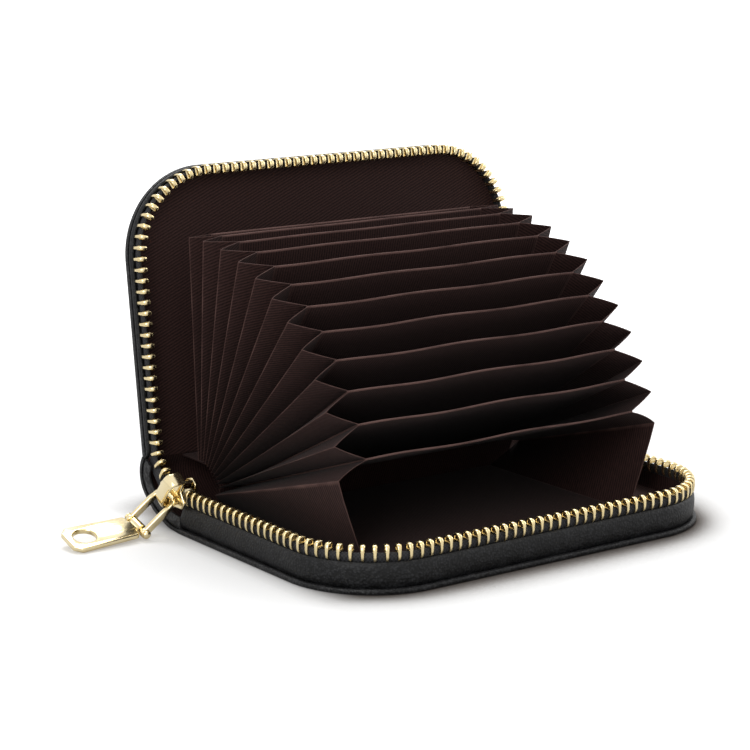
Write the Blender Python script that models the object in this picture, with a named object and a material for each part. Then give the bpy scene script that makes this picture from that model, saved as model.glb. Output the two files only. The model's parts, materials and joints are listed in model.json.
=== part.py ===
"""Accordion card holder, shown standing open.

Two stiffened leather covers are joined by a soft leather spine and closed by a metal zip
that runs round three sides. Between them a fan of fabric walls, joined at their ends by
folded gussets, makes the card pockets.

Units are metres, +Z is up. X runs along the spine and the pockets open towards -Y. The
origin is the middle of the lower cover's underside, which lies on the floor at Z = 0.
"""

import math

import bmesh
import bpy
from mathutils import Matrix, Vector

# The zip's rim curve, seen from above: three sides of a rounded rectangle
RIM_LENGTH = 0.1128
RIM_DEPTH = 0.0744
RIM_CORNER = 0.0217
CORNER_STEPS = 9

# The covers, measured square to the plane where the two zip chains meet
LOWER_DEPTH = 0.0103
UPPER_DEPTH = 0.0062
OPEN_ANGLE = math.radians(97.4)

# The fold axis, behind and below the back ends of the rim
FOLD_BACK = 0.002466
FOLD_DROP = 0.002033

# Layers of a cover, from the outside in
PANEL_THICKNESS = 0.0011
PANEL_EDGE_BEVEL = 0.0003
BOARD_THICKNESS = 0.0006
LINING_THICKNESS = 0.00035
LAYER_GAP = 0.00015
LOWER_PANEL_OVERHANG = 0.0007
UPPER_PANEL_OVERHANG = 0.0002
COVER_BACK = 0.0055

# Side band, zip tape and zip teeth
BAND_THICKNESS = 0.0009
BAND_TOP = 0.00315
BAND_START = 0.0057
TAPE_THICKNESS = 0.00045
TAPE_WIDTH_LOWER = 0.0034
TAPE_WIDTH_UPPER = 0.0012
TOOTH_PITCH = 0.0026
TOOTH_WIDTH = 0.0012
TOOTH_ROOT = 0.00296
TOOTH_TIP = 0.0008
TOOTH_THICKNESS = 0.0026
TOOTH_TIP_TAPER = 0.00045
BEAD_WIDTH = 0.0012
BEAD_HEIGHT = 0.0008
BEAD_DEPTH = 0.0023
CHAIN_START = 0.0069
CHAIN_END = 0.0040
RIM_CLEARANCE = 0.0001

# The fan of pocket walls
POCKETS = 12
WALL_WIDTH = 0.0784
WALL_THICKNESS = 0.00045
WALL_LENGTH = 0.0540
WALL_FOOT = 0.0006
ROOT_SETBACK = 0.0052
FAN_CENTRE_X = -0.0021
FIRST_ROOT_TURN = math.radians(50.25)
FIRST_POCKET_ANGLE = math.radians(18.5)
POCKET_ANGLE = math.radians(7.25)
LAST_POCKET_ANGLE = math.radians(4.0)

# The folded gussets that close the pockets' ends
GUSSET_REACH = 0.0075
GUSSET_THICKNESS = 0.00018
GUSSET_SEAT = 0.0003
GUSSET_SIDE_GAP = 0.00005
FIRST_RIDGE_SHARE = 0.85
GUSSET_STEPS = 3

# The fabric strip behind the pockets' roots
STRIP_THICKNESS = 0.0003
STRIP_SETBACK = 0.00035

# The leather spine: its outer curve from the lower panel to the upper one
SPINE_THICKNESS = 0.0010
SPINE_OVERHANG = 0.0004
SPINE_LIFT = 0.0001
SPINE_SEAM_GAP = 0.0003
SPINE_REACH_LOW = 0.0086
SPINE_BULGE = 0.0046
SPINE_RISE = 0.0077
SPINE_STEPS = 12
SPINE_LINING_INSET = 0.0014
END_TAB_THICKNESS = 0.0007
END_TAB_WIDTH = 0.0030

# The zip slider at the left end of the spine, tilted halfway between the two covers
SLIDER_SETBACK = 0.0051
SLIDER_RISE = 0.0007
SLIDER_OUTER_PLATE = ((-0.0048, 0.0015), (-0.0004, 0.0048), (0.0014, 0.0048), (0.0048, 0.0027))
SLIDER_INNER_PLATE = ((-0.0026, 0.0011), (-0.0004, 0.0026), (0.0014, 0.0026), (0.0040, 0.0020))
SLIDER_PLATE = 0.0009
SLIDER_PLATE_GAP = 0.0005
SLIDER_POST_NOSE = 0.0025
SLIDER_POST_LENGTH = 0.0020
SLIDER_POST_HEIGHT = 0.0016

# The joined end of the two zip tapes, behind the slider's tail
TAPE_END_START = 0.0036
TAPE_END_LENGTH = 0.0030
TAPE_END_WIDTH = 0.0032

# The flat arch along the slider that holds the pull
BRIDGE_WIDTH = 0.0028
BRIDGE_THICKNESS = 0.0008
BRIDGE_LENGTH = 0.0095
BRIDGE_SHIFT = 0.0005
BRIDGE_CLEARANCE = 0.0027
BRIDGE_STEPS = 14

# The pull: an open link, its pin and a flat tab
PULL_ROLL = math.radians(16.5)
LINK_LENGTH = 0.0102
LINK_LEAN = math.radians(49.0)
LINK_WIDTH = 0.0080
LINK_BAR = 0.0013
LINK_DEPTH = 0.0020
LINK_BEND_DEPTH = 0.0012
LINK_CORNER = 0.0021
LINK_CORNER_STEPS = 5
LINK_SEAT = 0.00125
LINK_SHIFT = 0.0041
LINK_DROP = 0.0001
LINK_EYE = 0.0013
LINK_EYE_DEPTH = 0.0023
PIN_RADIUS = 0.0005
PIN_HEAD_RADIUS = 0.0011
PIN_HEAD_REACH = 0.0009
PIN_CLEARANCE = 0.0001
TAB_PITCH = math.radians(2.6)
TAB_LENGTH = 0.0187
TAB_WIDTH = 0.0098
TAB_NEAR_WIDTH = 0.0085
TAB_THICKNESS = 0.00135
TAB_CHAMFER = 0.0016
TAB_HOLE_RADIUS = 0.0026
TAB_HOLE_SETBACK = 0.0046
KNUCKLE_RADIUS = 0.0013
KNUCKLE_WIDTH = 0.0040
NECK_LENGTH = 0.0026
NECK_INSET = 0.00015
ROUND_STEPS = 16

STACK = PANEL_THICKNESS + BOARD_THICKNESS + LINING_THICKNESS + 2 * LAYER_GAP
CLOSED_GAP = LOWER_DEPTH + UPPER_DEPTH - 2 * STACK
WALL_PITCH = (CLOSED_GAP - 2 * LAYER_GAP - WALL_THICKNESS) / POCKETS
FIRST_WALL_HEIGHT = STACK + LAYER_GAP + WALL_THICKNESS / 2 - LOWER_DEPTH
SIDE_LENGTH = RIM_DEPTH - RIM_CORNER
CORNER_LENGTH = math.pi / 2 * RIM_CORNER
FRONT_LENGTH = RIM_LENGTH - 2 * RIM_CORNER
RIM_TOTAL = 2 * (SIDE_LENGTH + CORNER_LENGTH) + FRONT_LENGTH


def clear_scene():
    """Remove every object that the file opened with."""
    for item in list(bpy.data.objects):
        bpy.data.objects.remove(item, do_unlink=True)


def material(name, colour, roughness, metallic=0.0):
    """A plain Principled material."""
    made = bpy.data.materials.new(name)
    made.use_nodes = True
    shader = made.node_tree.nodes["Principled BSDF"]
    shader.inputs["Base Color"].default_value = (*colour, 1.0)
    shader.inputs["Roughness"].default_value = roughness
    shader.inputs["Metallic"].default_value = metallic
    return made


def axis_empty(name, parent=None, location=(0, 0, 0), turn=0.0, lean=0.0):
    """An empty whose local X or Y axis is a joint axis."""
    empty = bpy.data.objects.new(name, None)
    bpy.context.collection.objects.link(empty)
    empty.parent = parent
    empty.location = location
    empty.rotation_euler = (turn, -lean, 0.0)
    return empty


def solid(name, rings, finish, parent=None, smooth=False, falling=None):
    """Loft a closed body through rings of points, capped at both ends.

    Twisted sides are split into triangles: those listed in falling along one diagonal and
    the others along the other, so that a thin body's two faces stay parallel.
    """
    mesh = bpy.data.meshes.new(name)
    form = bmesh.new()
    grid = [[form.verts.new(point) for point in ring] for ring in rings]
    size = len(grid[0])
    caps = [form.faces.new(list(reversed(grid[0]))), form.faces.new(grid[-1])]
    for near, far in zip(grid, grid[1:]):
        for i in range(size):
            j = (i + 1) % size
            if falling is None:
                form.faces.new((near[i], near[j], far[j], far[i]))
            elif i in falling:
                form.faces.new((near[i], near[j], far[i]))
                form.faces.new((near[j], far[j], far[i]))
            else:
                form.faces.new((near[i], near[j], far[j]))
                form.faces.new((near[i], far[j], far[i]))
    bmesh.ops.triangulate(form, faces=caps)
    bmesh.ops.recalc_face_normals(form, faces=form.faces)
    if form.calc_volume(signed=True) < 0:
        bmesh.ops.reverse_faces(form, faces=form.faces)
    form.to_mesh(mesh)
    form.free()
    if smooth:
        mesh.shade_smooth()
        mesh.set_sharp_from_angle(angle=math.radians(35))
    made = bpy.data.objects.new(name, mesh)
    made.data.materials.append(finish)
    bpy.context.collection.objects.link(made)
    made.parent = parent
    return made


def join_shape(target, tool, operation):
    """Add or cut a hidden tool body with an exact Boolean."""
    tool.hide_render = True
    tool.display_type = "WIRE"
    step = target.modifiers.new(tool.name, "BOOLEAN")
    step.operation = operation
    step.object = tool
    step.solver = "EXACT"


def rim_point(distance):
    """Place and outward direction on the rim, measured along it from the left fold end."""
    half = RIM_LENGTH / 2
    if distance <= SIDE_LENGTH:
        return Vector((-half, -distance)), Vector((-1, 0))
    distance -= SIDE_LENGTH
    if distance <= CORNER_LENGTH:
        angle = distance / RIM_CORNER
        out = Vector((-math.cos(angle), -math.sin(angle)))
        return Vector((-half + RIM_CORNER, -SIDE_LENGTH)) + out * RIM_CORNER, out
    distance -= CORNER_LENGTH
    if distance <= FRONT_LENGTH:
        return Vector((-half + RIM_CORNER + distance, -RIM_DEPTH)), Vector((0, -1))
    distance -= FRONT_LENGTH
    if distance <= CORNER_LENGTH:
        angle = distance / RIM_CORNER
        out = Vector((math.sin(angle), -math.cos(angle)))
        return Vector((half - RIM_CORNER, -SIDE_LENGTH)) + out * RIM_CORNER, out
    distance -= CORNER_LENGTH
    return Vector((half, -SIDE_LENGTH + distance)), Vector((1, 0))


def rim_stations(start):
    """Distances along the rim that follow its shape, leaving out start at each end."""
    corner = [CORNER_LENGTH * i / CORNER_STEPS for i in range(CORNER_STEPS + 1)]
    left = [SIDE_LENGTH + step for step in corner]
    right = [RIM_TOTAL - distance for distance in reversed(left)]
    return [start, *left, *right, RIM_TOTAL - start]


def rim_place(distance, offset, height):
    """A point offset outwards from the rim at a height over the rim plane."""
    place, out = rim_point(distance)
    place = place + out * offset
    return Vector((place.x, place.y, height))


def cover_sheet(name, side, depth, thickness, overhang, bevel, finish, parent):
    """A flat layer of a cover: depth is its outer face's distance from the rim plane."""
    stations = rim_stations(COVER_BACK)
    levels = [(depth - thickness, bevel), (depth, bevel)]
    if bevel:
        levels = [
            (depth - thickness, bevel),
            (depth - thickness + bevel, 0.0),
            (depth - bevel, 0.0),
            (depth, bevel),
        ]
    rings = []
    for height, inset in levels:
        rings.append([rim_place(d, overhang - inset, side * height) for d in stations])
    return solid(name, rings, finish, parent)


def rim_strip(name, side, outer, inner, top, bottom, finish, parent):
    """An upright strip that follows the rim, such as the side band or the zip tape."""
    corners = ((outer, top), (outer, bottom), (inner, bottom), (inner, top))
    rings = []
    for distance in rim_stations(BAND_START):
        rings.append([rim_place(distance, o, side * h) for o, h in corners])
    return solid(name, rings, finish, parent)


def zip_chain(name, side, phase, finish, parent):
    """Metal teeth clamped on a corded bead, as one comb that follows the rim."""
    middle = -TOOTH_THICKNESS / 2 + RIM_CLEARANCE
    half_bead = BEAD_WIDTH / 2
    bead = (
        (middle + half_bead, BEAD_DEPTH + BEAD_HEIGHT / 2),
        (middle + half_bead, BEAD_DEPTH - BEAD_HEIGHT / 2),
        (middle - half_bead, BEAD_DEPTH - BEAD_HEIGHT / 2),
        (middle - half_bead, BEAD_DEPTH + BEAD_HEIGHT / 2),
    )
    half_tooth = TOOTH_THICKNESS / 2
    tooth = (
        (middle + half_tooth, TOOTH_ROOT),
        (middle + half_tooth - TOOTH_TIP_TAPER, -TOOTH_TIP),
        (middle - half_tooth + TOOTH_TIP_TAPER, -TOOTH_TIP),
        (middle - half_tooth, TOOTH_ROOT),
    )
    count = int((RIM_TOTAL - CHAIN_START - CHAIN_END) / TOOTH_PITCH)
    rings = [[rim_place(CHAIN_START, o, side * h) for o, h in bead]]
    for i in range(count):
        centre = CHAIN_START + TOOTH_PITCH * (i + phase)
        for distance, section in (
            (centre - TOOTH_WIDTH / 2, bead),
            (centre - TOOTH_WIDTH / 2, tooth),
            (centre + TOOTH_WIDTH / 2, tooth),
            (centre + TOOTH_WIDTH / 2, bead),
        ):
            rings.append([rim_place(distance, o, side * h) for o, h in section])
    end = CHAIN_START + TOOTH_PITCH * (count + phase)
    rings.append([rim_place(end, o, side * h) for o, h in bead])
    return solid(name, rings, finish, parent)


def build_cover(prefix, side, depth, overhang, tape_width, phase, parent, finishes):
    """One cover: panel, stiffening board, side band, lining, zip tape and zip teeth."""
    leather, board, fabric, tape, metal = finishes
    cover_sheet(
        prefix + "_panel", side, depth, PANEL_THICKNESS, overhang, PANEL_EDGE_BEVEL, leather, parent
    )
    inside = depth - PANEL_THICKNESS - LAYER_GAP
    board_edge = -BAND_THICKNESS - RIM_CLEARANCE - 2 * LAYER_GAP
    cover_sheet(prefix + "_board", side, inside, BOARD_THICKNESS, board_edge, 0.0, board, parent)
    rim_strip(
        prefix + "_band",
        side,
        -RIM_CLEARANCE,
        -RIM_CLEARANCE - BAND_THICKNESS,
        BAND_TOP,
        inside,
        leather,
        parent,
    )
    tape_outer = -RIM_CLEARANCE - BAND_THICKNESS - LAYER_GAP
    tape_inner = tape_outer - TAPE_THICKNESS
    rim_strip(
        prefix + "_zip_tape",
        side,
        tape_outer,
        tape_inner,
        BAND_TOP,
        BAND_TOP + tape_width,
        tape,
        parent,
    )
    lining_depth = inside - BOARD_THICKNESS - LAYER_GAP
    lining_edge = tape_inner - LAYER_GAP
    cover_sheet(
        prefix + "_lining", side, lining_depth, LINING_THICKNESS, lining_edge, 0.0, fabric, parent
    )
    zip_chain(prefix + "_zip_teeth", side, phase, metal, parent)


def turned(y, z, angle):
    """A point of the fold plane, turned by angle round the rim's back end."""
    return Vector(
        (y * math.cos(angle) + z * math.sin(angle), z * math.cos(angle) - y * math.sin(angle))
    )


def on_upper(y, z):
    """A point of the closed upper cover, where it lies once the cover is open."""
    axis = Vector((FOLD_BACK, -FOLD_DROP))
    return turned(y - axis.x, z - axis.y, OPEN_ANGLE) + axis


def ahead(angle):
    """Direction out of a pocket wall's root, as y and z, at an angle from the floor."""
    return Vector((-math.cos(angle), math.sin(angle)))


def above(angle):
    """Direction square to a pocket wall, towards the next wall up."""
    return Vector((math.sin(angle), math.cos(angle)))


def wall_roots():
    """Root place and angle of every wall at rest, from the lower lining's wall up."""
    roots = [(Vector((-ROOT_SETBACK, FIRST_WALL_HEIGHT)), 0.0)]
    first = turned(-ROOT_SETBACK, FIRST_WALL_HEIGHT + WALL_PITCH, FIRST_ROOT_TURN)
    angle = FIRST_POCKET_ANGLE
    roots.append((first, angle))
    for number in range(2, POCKETS + 1):
        place = roots[-1][0] + above(angle) * WALL_PITCH
        angle += LAST_POCKET_ANGLE if number == POCKETS else POCKET_ANGLE
        roots.append((place, angle))
    return roots


def first_wall_pivot(roots):
    """Where the first moving wall turns: the centre of its root's path from shut to open."""
    shut = Vector((-ROOT_SETBACK, FIRST_WALL_HEIGHT + WALL_PITCH))
    chord = roots[1][0] - shut
    square = Vector((chord.y, -chord.x))
    return (roots[1][0] + shut) / 2 + square / (2 * math.tan(FIRST_POCKET_ANGLE / 2))


def build_walls(roots, fold, fabric):
    """The pocket walls, each hinged at its root on the wall below it."""
    half = WALL_WIDTH / 2
    thick = WALL_THICKNESS / 2
    parent = fold
    parent_place = Vector((0.0, 0.0))
    parent_angle = 0.0
    for index, (root, angle) in enumerate(roots):
        number = POCKETS - index
        pivot = first_wall_pivot(roots) if index == 1 else root
        if index:
            step = Matrix.Rotation(parent_angle, 2) @ (pivot - parent_place)
            joint = axis_empty(
                f"pocket_wall_{number:02d}_axis",
                parent,
                (0.0, step.x, step.y),
                -(angle - parent_angle),
            )
            parent, parent_place, parent_angle = joint, pivot, angle
            start = Matrix.Rotation(angle, 2) @ (root - pivot)
        else:
            joint, start = fold, root
        rings = []
        for y in (start.x - WALL_FOOT, start.x - WALL_LENGTH):
            rings.append(
                [
                    Vector((FAN_CENTRE_X - half, y, start.y - thick)),
                    Vector((FAN_CENTRE_X + half, y, start.y - thick)),
                    Vector((FAN_CENTRE_X + half, y, start.y + thick)),
                    Vector((FAN_CENTRE_X - half, y, start.y + thick)),
                ]
            )
        solid(f"pocket_wall_{number:02d}", rings, fabric, joint)


def gusset_ring(side, low, high, ridge, lift):
    """One cross-section of a folded gusset between a lower and an upper wall edge."""
    edge = FAN_CENTRE_X + side * (WALL_WIDTH / 2 + GUSSET_SIDE_GAP)
    tip = edge + side * (GUSSET_REACH - GUSSET_SIDE_GAP)
    span = high - low
    inner = span.normalized() * lift
    narrow = lift / (span.length / 2) * (GUSSET_REACH - GUSSET_SIDE_GAP)
    section = (
        (edge, low),
        (tip, ridge),
        (edge, high),
        (edge, high - inner),
        (tip - side * narrow, ridge),
        (edge, low + inner),
    )
    return [Vector((x, place.x, place.y)) for x, place in section]


def build_gussets(roots, fold, fabric):
    """A folded strip at each end of each pocket, one ridge standing outwards."""
    for index in range(POCKETS):
        number = POCKETS - index
        low_root, low_angle = roots[index]
        high_root, high_angle = roots[index + 1]
        share = FIRST_RIDGE_SHARE if index == 0 else 0.5
        for word, side in (("left", -1), ("right", 1)):
            rings = []
            for step in range(GUSSET_STEPS + 1):
                reach = WALL_FOOT + (WALL_LENGTH - WALL_FOOT) * step / GUSSET_STEPS
                low = low_root + ahead(low_angle) * reach + above(low_angle) * GUSSET_SEAT
                high = high_root + ahead(high_angle) * reach - above(high_angle) * GUSSET_SEAT
                rings.append(
                    gusset_ring(side, low, high, low.lerp(high, share), GUSSET_THICKNESS)
                )
            solid(f"gusset_{word}_{number:02d}", rings, fabric, fold, falling=(1, 4))


def fold_sheet(name, line, normals, outer, inner, low_x, high_x, finish, fold):
    """A sheet along X whose section follows a line in the fold plane."""
    rings = []
    for place, normal in zip(line, normals):
        near = place + normal * outer
        far = place + normal * inner
        rings.append(
            [
                Vector((low_x, near.x, near.y)),
                Vector((high_x, near.x, near.y)),
                Vector((high_x, far.x, far.y)),
                Vector((low_x, far.x, far.y)),
            ]
        )
    return solid(name, rings, finish, fold)


def line_normals(line):
    """Left-hand normals of a line of points."""
    normals = []
    for i, _ in enumerate(line):
        run = line[min(i + 1, len(line) - 1)] - line[max(i - 1, 0)]
        normals.append(Vector((-run.y, run.x)).normalized())
    return normals


def spine_line():
    """The spine's outer curve, from the lower panel's back edge to the upper panel's."""
    back = COVER_BACK - SPINE_SEAM_GAP
    start = Vector((-back, SPINE_LIFT - LOWER_DEPTH))
    end = on_upper(-back, UPPER_DEPTH)
    handles = (
        start,
        start + Vector((SPINE_REACH_LOW, 0.0)),
        end + Vector((SPINE_BULGE, -SPINE_RISE)),
        end,
    )
    points = []
    for i in range(SPINE_STEPS + 1):
        t = i / SPINE_STEPS
        blend = ((1 - t) ** 3, 3 * t * (1 - t) ** 2, 3 * t * t * (1 - t), t**3)
        points.append(sum((h * b for h, b in zip(handles, blend)), Vector((0.0, 0.0))))
    return points


def build_spine(roots, fold, leather, fabric):
    """The leather spine, its lining, its end tabs and the strip behind the pockets."""
    line = spine_line()
    normals = line_normals(line)
    half = RIM_LENGTH / 2 + SPINE_OVERHANG
    fold_sheet("spine_leather", line, normals, 0.0, SPINE_THICKNESS, -half, half, leather, fold)
    lining = SPINE_LINING_INSET
    fold_sheet(
        "spine_lining",
        line,
        normals,
        lining,
        lining + LINING_THICKNESS,
        -half + END_TAB_THICKNESS + 2 * LAYER_GAP,
        half - END_TAB_THICKNESS - 2 * LAYER_GAP,
        fabric,
        fold,
    )
    tab_outer = SPINE_THICKNESS + LAYER_GAP
    for word, low_x in (("left", -half), ("right", half - END_TAB_THICKNESS)):
        fold_sheet(
            "zip_end_tab_" + word,
            line,
            normals,
            tab_outer,
            tab_outer + END_TAB_WIDTH,
            low_x,
            low_x + END_TAB_THICKNESS,
            leather,
            fold,
        )
    lining_face = FIRST_WALL_HEIGHT - WALL_THICKNESS / 2
    start = Vector((-ROOT_SETBACK + STRIP_SETBACK, lining_face))
    end = on_upper(-ROOT_SETBACK, UPPER_DEPTH - STACK - LAYER_GAP)
    strip = [start]
    strip += [root - ahead(angle) * STRIP_SETBACK for root, angle in roots[1:]]
    strip.append(end)
    fold_sheet(
        "pocket_back_strip",
        strip,
        line_normals(strip),
        -STRIP_THICKNESS,
        0.0,
        FAN_CENTRE_X - WALL_WIDTH / 2,
        FAN_CENTRE_X + WALL_WIDTH / 2,
        fabric,
        fold,
    )


def plate_ring(x, halves):
    """A slider plate's outline from its places along the slider and half widths there."""
    outline = list(halves) + [(y, -half) for y, half in reversed(halves)]
    return [Vector((x, y, z)) for y, z in outline]


def build_slider(fold, tape, metal):
    """Two plates joined by a post, the arch that holds the pull, and the tapes' joined end."""
    tilt = axis_empty(
        "slider_tilt", fold, (0.0, -SLIDER_SETBACK, SLIDER_RISE), turn=-OPEN_ANGLE / 2
    )
    outer_face = -RIM_LENGTH / 2 - SLIDER_PLATE_GAP
    inner_face = -RIM_LENGTH / 2 + TOOTH_THICKNESS - RIM_CLEARANCE + SLIDER_PLATE_GAP
    body = solid(
        "slider_body",
        [plate_ring(x, SLIDER_OUTER_PLATE) for x in (outer_face - SLIDER_PLATE, outer_face)],
        metal,
        tilt,
    )
    inner_plate = solid(
        "slider_inner_plate",
        [plate_ring(x, SLIDER_INNER_PLATE) for x in (inner_face, inner_face + SLIDER_PLATE)],
        metal,
        tilt,
    )
    middle = -RIM_LENGTH / 2 + TOOTH_THICKNESS / 2 - RIM_CLEARANCE
    tape_rings = []
    for x in (middle - TAPE_THICKNESS / 2, middle + TAPE_THICKNESS / 2):
        tape_rings.append(
            [
                Vector((x, TAPE_END_START, -TAPE_END_WIDTH / 2)),
                Vector((x, TAPE_END_START + TAPE_END_LENGTH, -TAPE_END_WIDTH / 2)),
                Vector((x, TAPE_END_START + TAPE_END_LENGTH, TAPE_END_WIDTH / 2)),
                Vector((x, TAPE_END_START, TAPE_END_WIDTH / 2)),
            ]
        )
    solid("zip_end_tape", tape_rings, tape, tilt)
    nose = -SLIDER_POST_NOSE
    half = SLIDER_POST_HEIGHT / 2
    post_rings = []
    for x in (outer_face - SLIDER_PLATE / 2, inner_face + SLIDER_PLATE / 2):
        post_rings.append(
            [
                Vector((x, nose + SLIDER_POST_LENGTH, -half)),
                Vector((x, nose, -half / 2)),
                Vector((x, nose, half / 2)),
                Vector((x, nose + SLIDER_POST_LENGTH, half)),
            ]
        )
    post = solid("slider_post", post_rings, metal, tilt)
    join_shape(body, post, "UNION")
    join_shape(body, inner_plate, "UNION")

    face = outer_face - SLIDER_PLATE - LAYER_GAP
    reach = BRIDGE_CLEARANCE + BRIDGE_THICKNESS
    rings = []
    for i in range(BRIDGE_STEPS + 1):
        angle = math.pi * i / BRIDGE_STEPS
        out = abs(math.sin(angle)) ** 0.5
        along = -math.copysign(abs(math.cos(angle)) ** 0.5, math.cos(angle))
        ring = []
        for bulge, half_span in (
            (reach, BRIDGE_LENGTH / 2),
            (BRIDGE_CLEARANCE, BRIDGE_LENGTH / 2 - BRIDGE_THICKNESS),
        ):
            for z in (-BRIDGE_WIDTH / 2, BRIDGE_WIDTH / 2):
                ring.append(Vector((face - bulge * out, half_span * along - BRIDGE_SHIFT, z)))
        rings.append([ring[0], ring[1], ring[3], ring[2]])
    solid("slider_bridge", rings, metal, tilt)
    return face


def round_bar(name, radius, low_y, high_y, centre, finish, parent, turn=0.0):
    """A round bar along Y, for knuckles, bores and holes; turn is a share of one facet."""
    rings = []
    for y in (low_y, high_y):
        ring = []
        for i in range(ROUND_STEPS):
            angle = 2 * math.pi * (i + turn) / ROUND_STEPS
            ring.append(
                Vector((centre + radius * math.cos(angle), y, radius * math.sin(angle)))
            )
        rings.append(ring)
    return solid(name, rings, finish, parent, smooth=True)


def build_link(axis, metal):
    """A U-shaped link whose closed end hangs in the arch and whose eyes hold the pin."""
    half = LINK_WIDTH / 2 - LINK_BAR / 2
    corner = LINK_CORNER
    path = []
    for x, depth in (
        (-LINK_LENGTH - LINK_EYE, LINK_DEPTH),
        (-LINK_LENGTH - LINK_EYE / 2, LINK_EYE_DEPTH),
        (-LINK_LENGTH + LINK_EYE / 2, LINK_EYE_DEPTH),
        (-LINK_LENGTH + 2 * LINK_EYE, LINK_DEPTH),
        (-LINK_CORNER - LINK_EYE, LINK_DEPTH),
    ):
        path.append((Vector((x, -half)), Vector((0.0, -1.0)), depth))
    for i in range(LINK_CORNER_STEPS + 1):
        angle = math.pi / 2 * i / LINK_CORNER_STEPS
        out = Vector((math.sin(angle), -math.cos(angle)))
        path.append((Vector((-corner, -half + corner)) + out * corner, out, LINK_BEND_DEPTH))
    for place, out, depth in reversed(list(path)):
        path.append((Vector((place.x, -place.y)), Vector((out.x, -out.y)), depth))
    bar = LINK_BAR / 2
    rings = []
    for place, out, depth in path:
        ring = []
        deep = depth / 2
        for o, h in ((bar, deep), (bar, -deep), (-bar, -deep), (-bar, deep)):
            point = place + out * o
            ring.append(Vector((point.x, point.y, h)))
        rings.append(ring)
    link = solid("pull_link", rings, metal, axis)
    bore = round_bar(
        "link_bore", PIN_RADIUS + PIN_CLEARANCE, -LINK_WIDTH, LINK_WIDTH, -LINK_LENGTH, metal, axis
    )
    join_shape(link, bore, "DIFFERENCE")


def build_pin(axis, metal):
    """The pin through the link's eyes, with a rounded head at each end."""
    end = LINK_WIDTH / 2 + LAYER_GAP
    rings = []
    for y, radius in (
        (-end - PIN_HEAD_REACH, PIN_HEAD_RADIUS * 0.45),
        (-end - PIN_HEAD_REACH * 0.6, PIN_HEAD_RADIUS * 0.9),
        (-end, PIN_HEAD_RADIUS),
        (-end, PIN_RADIUS),
        (end, PIN_RADIUS),
        (end, PIN_HEAD_RADIUS),
        (end + PIN_HEAD_REACH * 0.6, PIN_HEAD_RADIUS * 0.9),
        (end + PIN_HEAD_REACH, PIN_HEAD_RADIUS * 0.45),
    ):
        ring = []
        for i in range(ROUND_STEPS):
            angle = 2 * math.pi * i / ROUND_STEPS
            ring.append(
                Vector((-LINK_LENGTH + radius * math.cos(angle), y, radius * math.sin(angle)))
            )
        rings.append(ring)
    solid("link_pin", rings, metal, axis, smooth=True)


def build_tab(axis, metal):
    """The flat tab: a plate with a short neck, clipped far corners, a hole and a knuckle."""
    thick = TAB_THICKNESS / 2
    half = TAB_WIDTH / 2
    near = TAB_NEAR_WIDTH / 2
    neck = KNUCKLE_WIDTH / 2 - NECK_INSET
    cut = TAB_CHAMFER
    start = -KNUCKLE_RADIUS / 4
    outline = (
        (start, -neck),
        (-NECK_LENGTH, -neck),
        (-NECK_LENGTH - cut / 2, -near),
        (-TAB_LENGTH + cut, -half),
        (-TAB_LENGTH, -half + cut),
        (-TAB_LENGTH, half - cut),
        (-TAB_LENGTH + cut, half),
        (-NECK_LENGTH - cut / 2, near),
        (-NECK_LENGTH, neck),
        (start, neck),
    )
    rings = [[Vector((x, y, z)) for x, y in outline] for z in (-thick, thick)]
    tab = solid("pull_tab", rings, metal, axis)
    reach = KNUCKLE_WIDTH / 2
    knuckle = round_bar("tab_knuckle", KNUCKLE_RADIUS, -reach, reach, 0.0, metal, axis)
    bore = round_bar("tab_bore", PIN_RADIUS + PIN_CLEARANCE, -half, half, 0.0, metal, axis, 0.5)
    hole = round_bar(
        "tab_hole", TAB_HOLE_RADIUS, -TAB_WIDTH, TAB_WIDTH, 0.0, metal, axis
    )
    hole.rotation_euler = (math.pi / 2, 0.0, 0.0)
    hole.location = (-TAB_LENGTH + TAB_HOLE_SETBACK, 0.0, 0.0)
    join_shape(tab, knuckle, "UNION")
    join_shape(tab, hole, "DIFFERENCE")
    join_shape(tab, bore, "DIFFERENCE")


def build_pull(fold, face, metal):
    """The link hangs from the arch and leans out to the tab, whose front edge rests low."""
    place = (face - LINK_SEAT, -LINK_SHIFT, -LINK_DROP)
    swing = axis_empty("link_swing_axis", fold, place, turn=PULL_ROLL)
    tilt = axis_empty("link_tilt", swing, lean=LINK_LEAN)
    build_link(tilt, metal)
    build_pin(tilt, metal)
    out = -LINK_LENGTH * math.cos(LINK_LEAN)
    drop = -LINK_LENGTH * math.sin(LINK_LEAN)
    tab_axis = axis_empty("tab_swing_axis", swing, (out, 0.0, drop), lean=TAB_PITCH)
    build_tab(tab_axis, metal)


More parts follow.
